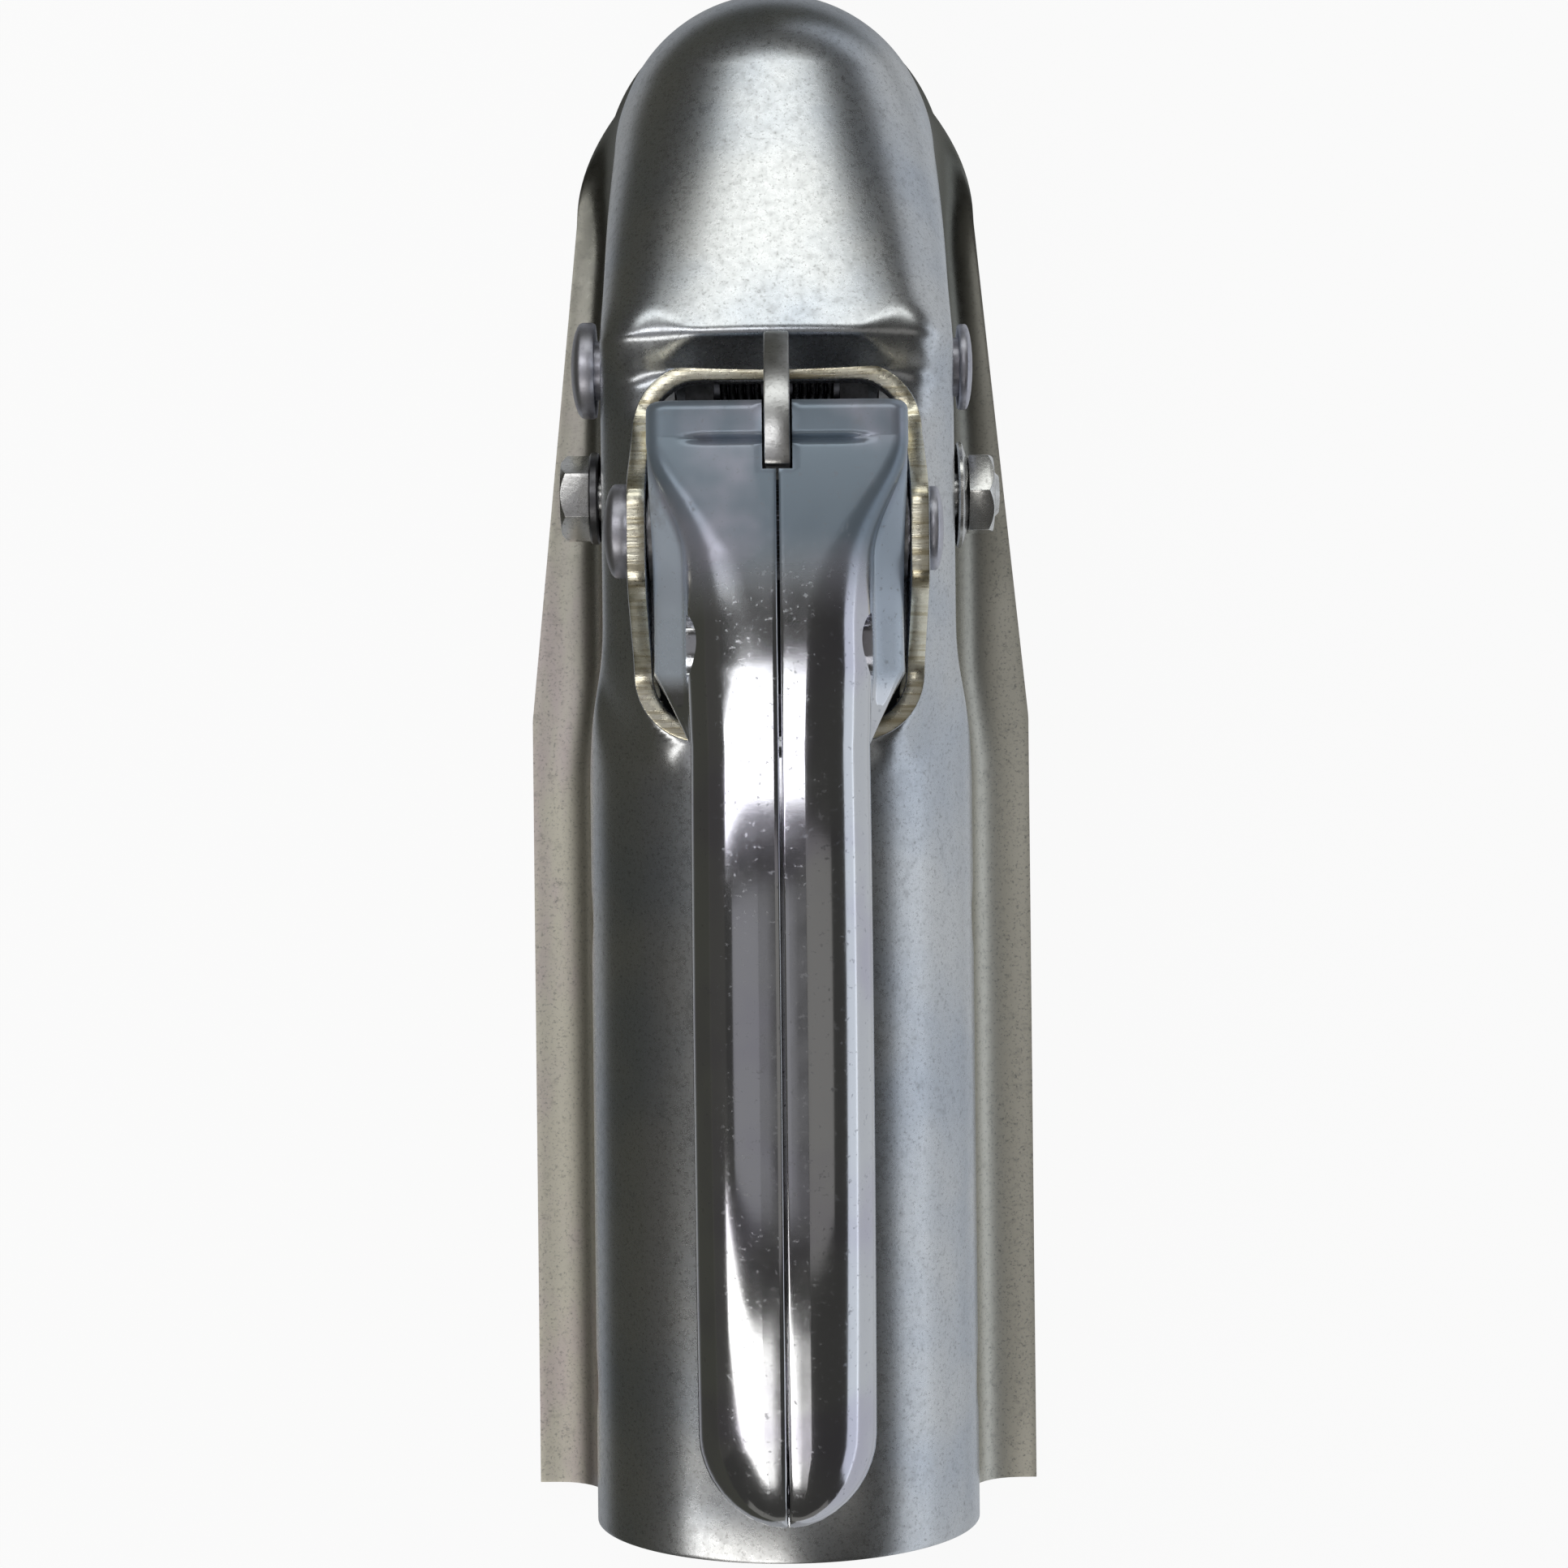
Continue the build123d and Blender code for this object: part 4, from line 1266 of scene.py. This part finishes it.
@dataclass
class Fasteners:
    """The two pivot rivets and the stop bolt with its washers and nut.

    The washers' lines give the distance from the wall and the radius of each ring.
    """

    wall_x: float = 31.0
    ear_x: float = 23.8
    pin_r: float = 5.0
    jaw_heads: tuple[Pair, Pair] = ((16.4, 4.2), (14.6, 2.5))
    handle_heads: tuple[Pair, Pair] = ((15.0, 4.0), (13.4, 2.6))
    head_foot: float = 0.97
    head_rise: float = 0.12
    head_crest: float = 0.08
    dome_steps: int = 7
    bolt_r: float = 4.0
    bolt_tip: float = 0.8
    bolt_end: float = 1.0
    bolt_in: float = 1.0
    bolt_sides: int = 40
    hex_flat: float = 6.5
    hex_edge: float = 0.3
    head_h: float = 5.0
    nut_h: float = 4.4
    cone_r: float = 1.02
    cone_top: float = 0.85
    cone_h: float = 1.1
    cone_sides: int = 64
    washer_line: tuple[Pair, ...] = ((1.6, 7.65), (1.3, 8.0), (0.3, 8.0), (0.0, 7.7))
    dish_line: tuple[Pair, ...] = (
        (0.0, 8.9), (0.3, 9.2), (0.8, 9.2), (1.05, 8.9), (1.5, 7.4), (1.9, 6.4), (2.0, 5.8),
    )
    washer_play: float = 0.2
    nut_play: float = 0.02

    def rivet(self, node: str, pin: Pair, half: float, heads: tuple[Pair, Pair]) -> None:
        """A rivet with a domed head on the left and a flatter closed head on the right.

        Args:
            node: Name of the solid that it stands for.
            pin: Place of its axis as (y, z).
            half: Distance from the middle to the faces that it holds.
            heads: Diameter and height of the domed head and of the closed one.
        """
        rings: list[Pair] = []
        for side, (d, h) in zip((-1, 1), heads):
            r = d / 2
            line = [(half, self.pin_r), (half, r * self.head_foot), (half + self.head_rise * h, r)]
            for k in range(self.dome_steps):
                t = pi / 2 * k / self.dome_steps
                line.append((half + h * (0.5 + 0.5 * sin(t)), r * cos(t)))
            line.append((half + h, r * self.head_crest))
            rings += [(side * x, ring_r) for x, ring_r in line[::side]]
        piece = Bench.turned(node + "_turned", pin, rings)
        clad(piece, Finish.RIVET)
        Bench.smooth(piece, angle=50)
        mount(piece, "housing_body", Finish.RIVET, node)

    def hex_bar(self, name: str, x0: float, x1: float, outward: int, turn: float) -> Piece:
        """Six-sided head or nut whose outer corners are turned down to a cone.

        Args:
            name: Name of the piece.
            x0: Face that rests on the washer.
            x1: Outer face.
            outward: 1 when the outer face is on the right, -1 on the left.
            turn: Turn of the corners in degrees.

        Returns:
            The hexagon with its chamfer.
        """
        corner = self.hex_flat / cos(radians(30))
        wide = corner * self.cone_r
        cone = [(x0, wide), (x1 - outward * self.cone_h, wide), (x1, corner * self.cone_top)]
        bar = Bench.turned(name, STOP_PIN, [(x0, corner), (x1, corner)], 6, turn)
        Bench.carve(bar, "INTERSECT", Bench.turned("cone", STOP_PIN, cone, self.cone_sides))
        return bar

    def washer(self, name: str, side: int, line: Sequence[Pair]) -> Piece:
        """Washer on the wall of one side, with its hole."""
        rings = [(side * (self.wall_x + x), r) for x, r in line]
        ring = Bench.turned(name, STOP_PIN, rings)
        Bench.drill(ring, (side * self.wall_x, *STOP_PIN), self.bolt_r + self.washer_play)
        return ring

    def stop(self) -> None:
        """The bolt from the left, its flat washer, the dished washer and the nut on the right."""
        under = -self.wall_x - self.washer_line[0][0]
        seat = self.wall_x + self.dish_line[-1][0]
        end = seat + self.nut_h + self.bolt_end
        head = self.hex_bar("bolt_head", under, under - self.head_h, -1, turn=0)
        Bench.round_edges(head, self.hex_edge, angle=20)
        shank = Bench.turned("bolt_shank", STOP_PIN, [
            (under - self.bolt_in, self.bolt_r), (end - self.bolt_tip, self.bolt_r),
            (end, self.bolt_r - self.bolt_tip),
        ], self.bolt_sides)
        bolt = Bench.join("stop_bolt_hex", head, shank)
        nut = self.hex_bar("stop_nut_hex", seat, seat + self.nut_h, 1, turn=30)
        Bench.drill(nut, (seat, *STOP_PIN), self.bolt_r + self.nut_play)
        Bench.round_edges(nut, self.hex_edge, angle=20)
        flat = self.washer("stop_washer_flat", -1, self.washer_line)
        dish = self.washer("nut_washer_dished", 1, self.dish_line)
        for piece, finish, node in (
            (bolt, Finish.BOLT, "stop_bolt"), (nut, Finish.BOLT, "stop_nut"),
            (flat, Finish.WASHER, "stop_washer"), (dish, Finish.BOLT, "nut_washer"),
        ):
            clad(piece, finish)
            Bench.smooth(piece, angle=30)
            mount(piece, "housing_body", finish, node)

    def build(self) -> None:
        """Makes the rivets, the bolt, the washers and the nut."""
        self.rivet("jaw_rivet", JAW_PIN, self.wall_x, self.jaw_heads)
        self.rivet("handle_rivet", HANDLE_PIN, self.ear_x, self.handle_heads)
        self.stop()


@dataclass
class JawWorks:
    """The arm plate, jaw, cam, springs and tubes inside the head."""

    arm_edge: float = 0.35
    jaw_edge: float = 0.5
    sleeve_r: float = 6.5
    arm_side: float = 2.35
    wire_d: float = 1.3
    wire_sides: int = 12
    coil_r: float = 7.1
    coil_pitch: float = 1.42
    coil_turns: int = 5
    coil_steps: int = 120
    leg_angle: float = 210.0
    leg_steps: int = 6
    foot_z: float = -1.65
    hook_room: float = 1.5
    still_x: float = 0.7

    def spring_line(self) -> list[Vector]:
        """Middle line of the right spring: leg in the jaw, coil, leg under the sleeve."""
        y, z = JAW_PIN
        r = self.coil_r
        drop = self.sleeve_r + self.wire_d / 2 + self.hook_room
        hook = Vector((STOP_PIN[0] - y, STOP_PIN[1] - drop - z))
        start = radians(self.leg_angle)
        turn = (start - atan2(hook.y, hook.x) - acos(r / hook.length)) % (2 * pi)
        turn += 2 * pi * (self.coil_turns - 1)
        foot = (z + r * sin(start) - self.foot_z) / -cos(start)
        reach = sqrt(hook.length ** 2 - r ** 2) + 2 * self.wire_d

        def at(share: float, run: float) -> Vector:
            """Point at a share of the coil, run on straight by some millimetres."""
            t = start - turn * share
            x = self.arm_side + self.wire_d / 2 + self.coil_pitch * turn / (2 * pi) * share
            return Vector((x, y + r * cos(t) - run * sin(t), z + r * sin(t) + run * cos(t)))

        legs = range(self.leg_steps)
        line = [at(0.0, foot * (1 - i / self.leg_steps)) for i in legs]
        line += [at(i / self.coil_steps, 0.0) for i in range(self.coil_steps + 1)]
        return line + [at(1.0, -reach * (i + 1) / self.leg_steps) for i in legs]

    def spring(self, node: str, side: int) -> None:
        """Torsion spring, drawn in one still shape; the real one winds up as the jaw swings.

        Args:
            node: The solid that it stands for.
            side: 1 on the right of the arm, -1 on the left.
        """
        line = self.spring_line()
        line = line[:1] + line + line[-1:]
        last = len(line) - 1

        def drawn(column: int, row: int) -> Triple:
            """Point of the wire's surface."""
            along = (line[min(row + 1, last)] - line[max(row - 1, 0)]).normalized()
            out = (Vector((1, 0, 0)) - along * along.x).normalized()
            t = 2 * pi * column / self.wire_sides
            r = self.wire_d / 2 if 0 < row < last else 0.0
            p = line[row] + (out * cos(t) + along.cross(out) * sin(t)) * r
            return side * p.x, p.y, p.z

        wire = Bench.pressed_sheet(node + "_wire", self.wire_sides, last, drawn)
        Bench.weld(wire, near=0.002)
        clad(wire, Finish.SPRING)
        Bench.smooth(wire, angle=60)
        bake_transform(wire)
        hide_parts(node)
        faces = len(wire.data.polygons)
        LOG.info("%s: %d faces, between housing_body and jaw_body", wire.name, faces)

    def softened(self, node: str, name: str, body: str, finish: Finish, edge: float) -> None:
        """Copy of an inner solid with its edges rounded.

        Args:
            node: The solid.
            name: Name of the copy.
            body: Body that it moves with.
            finish: Its finish.
            edge: Width of the rounding.
        """
        piece = Bench.copy_of(node, name)
        Bench.round_edges(piece, edge, angle=35)
        clad(piece, finish)
        Bench.smooth(piece, angle=35)
        mount(piece, body, finish, node)

    def build(self) -> None:
        """Dresses the inner works."""
        self.softened("jaw_arm", "jaw_arm_plate", "jaw_body", Finish.PLATE, self.arm_edge)
        self.softened("ball_jaw", "ball_jaw_forged", "jaw_body", Finish.FORGED, self.jaw_edge)
        self.spring("jaw_spring_right", 1)
        self.spring("jaw_spring_left", -1)
        dressed = {
            "handle_cam": Finish.FORGED, "jaw_spacer_left": Finish.PLATE,
            "jaw_spacer_right": Finish.PLATE, "stop_sleeve": Finish.PLATE,
        }
        for name, finish in dressed.items():
            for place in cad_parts[name].material_slots:
                place.link = "OBJECT"
                place.material = finish.material()
            LOG.info("%s: dressed as %s", name, finish.name.lower())


@dataclass(frozen=True)
class FloorWhite:
    """White floor that is dim where the metal mirrors it, dark under the housing as a painted
    shadow, and clear from below.
    """

    name: str = "floor_white"
    white: Colour = (1.0, 1.0, 1.0)
    matt: Colour = (0.9, 0.9, 0.9)
    # Colour of the painted shadow under the housing.
    under: Colour = (0.05, 0.05, 0.05)
    near_left: Colour = (0.34, 0.35, 0.36)
    near_right: Colour = (0.54, 0.56, 0.58)
    far: Colour = (0.06, 0.06, 0.05)
    seen_share: float = 0.93
    through_share: float = 0.5
    # Reach of the painted shadow under the housing, along and across.
    painted_shadow_y: Pair = (-0.170, -0.105)
    under_r: Pair = (0.030, 0.026)
    near_x: Pair = (0.02, 0.05)
    far_x: Pair = (0.09, 0.03)
    far_r: Pair = (0.050, 0.085)

    def build(self) -> bpy.types.Material:
        """Makes the material."""
        r = Recipe(self.name)
        seen = r.seen()
        mirrored = seen.sibling("Is Glossy Ray")
        through = seen.sibling("Is Transmission Ray")
        x, y, _ = r.axes(r.place())
        ahead = y.at_least(0.0)
        away = (x * x + ahead * ahead).root()
        # Painted shadow: the floor dark under the housing, fading out under the tube.
        inside = y.between(*self.painted_shadow_y) * away.between(*self.under_r)
        dim = away.between(*self.far_r) * x.between(*self.far_x)
        near = r.mix(x.between(*self.near_x), self.near_left, self.near_right)
        pale = r.mix(mirrored, self.white, r.mix(dim, near, self.far))
        glow = r.node("ShaderNodeEmission", {}, {"Color": pale, "Strength": 1.0})
        share = seen * self.seen_share + mirrored + through * self.through_share
        # Matt floor colour with the painted shadow under the housing.
        shade = r.mix(inside, self.matt, self.under)
        matt = r.node("ShaderNodeBsdfDiffuse", {}, {"Color": shade})
        # Under the housing the floor keeps only its painted shadow.
        top = r.node("ShaderNodeMixShader", {}, {0: (1.0 - inside) * share, 1: matt, 2: glow})
        below = r.node("ShaderNodeNewGeometry", {}, {}, "Backfacing")
        clear = r.node("ShaderNodeBsdfTransparent", {}, {})
        r.close(r.node("ShaderNodeMixShader", {}, {0: below, 1: top, 2: clear}))
        return r.material


class LampShape(Enum):
    """Outlines of a lamp's face, each with the share of its box that it fills."""

    CORNERED = ("RECTANGLE", 1.0)
    OVAL = ("ELLIPSE", pi / 4)


@dataclass(frozen=True)
class Lamp:
    """Soft flat lamp.

    Its place is in metres from the aim point, its size is width and depth in metres, and its level
    is the brightness of its face. It faces the head, or hangs flat and faces the floor.
    """

    name: str
    at: Triple
    size: Pair
    level: float
    colour: Colour
    flat: bool = False
    shape: LampShape = LampShape.CORNERED

    def hang(self, aim: Vector) -> None:
        """Hangs the lamp round the aim point, in metres."""
        kind, filled = self.shape.value
        light = bpy.data.lights.new(self.name, "AREA")
        light.shape = kind
        light.size, light.size_y = self.size
        light.energy = self.level * pi * self.size[0] * self.size[1] * filled
        light.color = self.colour
        lamp = bpy.data.objects.new(self.name, light)
        lamp.location = aim + Vector(self.at)
        if not self.flat:
            lamp.rotation_euler = (-Vector(self.at)).to_track_quat("-Z", "Y").to_euler()
        bpy.context.scene.collection.objects.link(lamp)


@dataclass
class Studio:
    """Pale floor, soft lamps, the room behind them and the camera straight above.

    The floor's sizes and the camera's clip are in metres, its place and the aim in millimetres.
    """

    camera_at: Triple = (0.5, -111.9, 510.0)
    camera_roll: float = -0.62
    lens: float = 65.57
    sensor: float = 36.0
    clip: float = 0.01
    aim: Triple = (0.0, -110.0, 50.0)
    floor_size: float = 6.0
    floor_y: float = -0.1
    floor_gap: float = 0.0003
    room_dim: Colour = (0.044, 0.043, 0.040)
    room_seen: Colour = (0.97, 0.97, 0.97)
    lamps: tuple[Lamp, ...] = (
        Lamp(
            "front_box", (-0.05, 0.865, 0.54), (1.55, 0.34), 1.75, (0.98, 1.0, 0.97),
            shape=LampShape.OVAL,
        ),
        Lamp("front_fill", (0.0, 0.68, 0.75), (1.0, 0.14), 0.03, (0.86, 0.94, 1.0)),
        Lamp("front_left_strip", (-0.66, 0.35, 0.9), (1.38, 0.22), 3.0, (1.0, 1.0, 1.0), flat=True),
        Lamp("rear_left_box", (-0.9, -0.81, 0.9), (1.78, 0.4), 2.6, (1.0, 0.98, 0.94), flat=True),
        Lamp("left_top", (-0.45, -0.15, 0.92), (0.9, 0.52), 0.22, (0.95, 0.94, 1.0), flat=True),
        Lamp("right_panel", (1.10, -0.10, 0.10), (1.9, 0.56), 0.78, (0.86, 0.92, 1.0)),
        Lamp("left_panel", (-1.10, -0.10, 0.30), (1.6, 0.7), 0.02, (1.0, 0.95, 0.82)),
        Lamp("rear_panel", (0.0, -1.10, 0.10), (1.3, 0.30), 0.14, (1.0, 0.98, 0.90)),
        Lamp("right_top", (0.46, -0.15, 0.92), (0.84, 0.7), 0.16, (1.0, 0.97, 0.92), flat=True),
    )

    def floor(self) -> None:
        """White floor just under the head."""
        low = CAD_BOX[0].z - self.floor_gap
        bpy.ops.mesh.primitive_plane_add(size=self.floor_size, location=(0, self.floor_y, low))
        floor = Bench.named("floor")
        floor.data.materials.append(FloorWhite().build())

    def room(self) -> None:
        """Room that the camera sees as white and the metal mirrors as dim."""
        world = bpy.data.worlds.new("room")
        r = Recipe("room", world)
        colour = r.mix(r.seen(), self.room_dim, self.room_seen)
        r.close(r.node("ShaderNodeBackground", {}, {"Color": colour}), "ShaderNodeOutputWorld")
        bpy.context.scene.world = world

    def camera(self) -> None:
        """Camera straight above the head."""
        data = bpy.data.cameras.new("above")
        data.lens = self.lens
        data.sensor_width = self.sensor
        data.clip_start = self.clip
        camera = bpy.data.objects.new("above", data)
        camera.location = Vector(self.camera_at) * MM
        camera.rotation_euler = (0, 0, radians(self.camera_roll))
        bpy.context.scene.collection.objects.link(camera)
        bpy.context.scene.camera = camera

    def build(self) -> None:
        """Sets up the camera, the floor, the lamps and the room."""
        self.camera()
        self.floor()
        for lamp in self.lamps:
            lamp.hang(Vector(self.aim) * MM)
        self.room()
        bpy.context.scene.view_settings.view_transform = "Standard"


def main() -> None:
    """Builds the head piece by piece."""
    logging.basicConfig(level=logging.INFO, format="%(name)s: %(message)s")
    for part in (Studio(), Housing(), LiftHandle(), Fasteners(), JawWorks()):
        part.build()
        LOG.info("%s done", type(part).__name__)


if __name__ == "__main__":
    main()
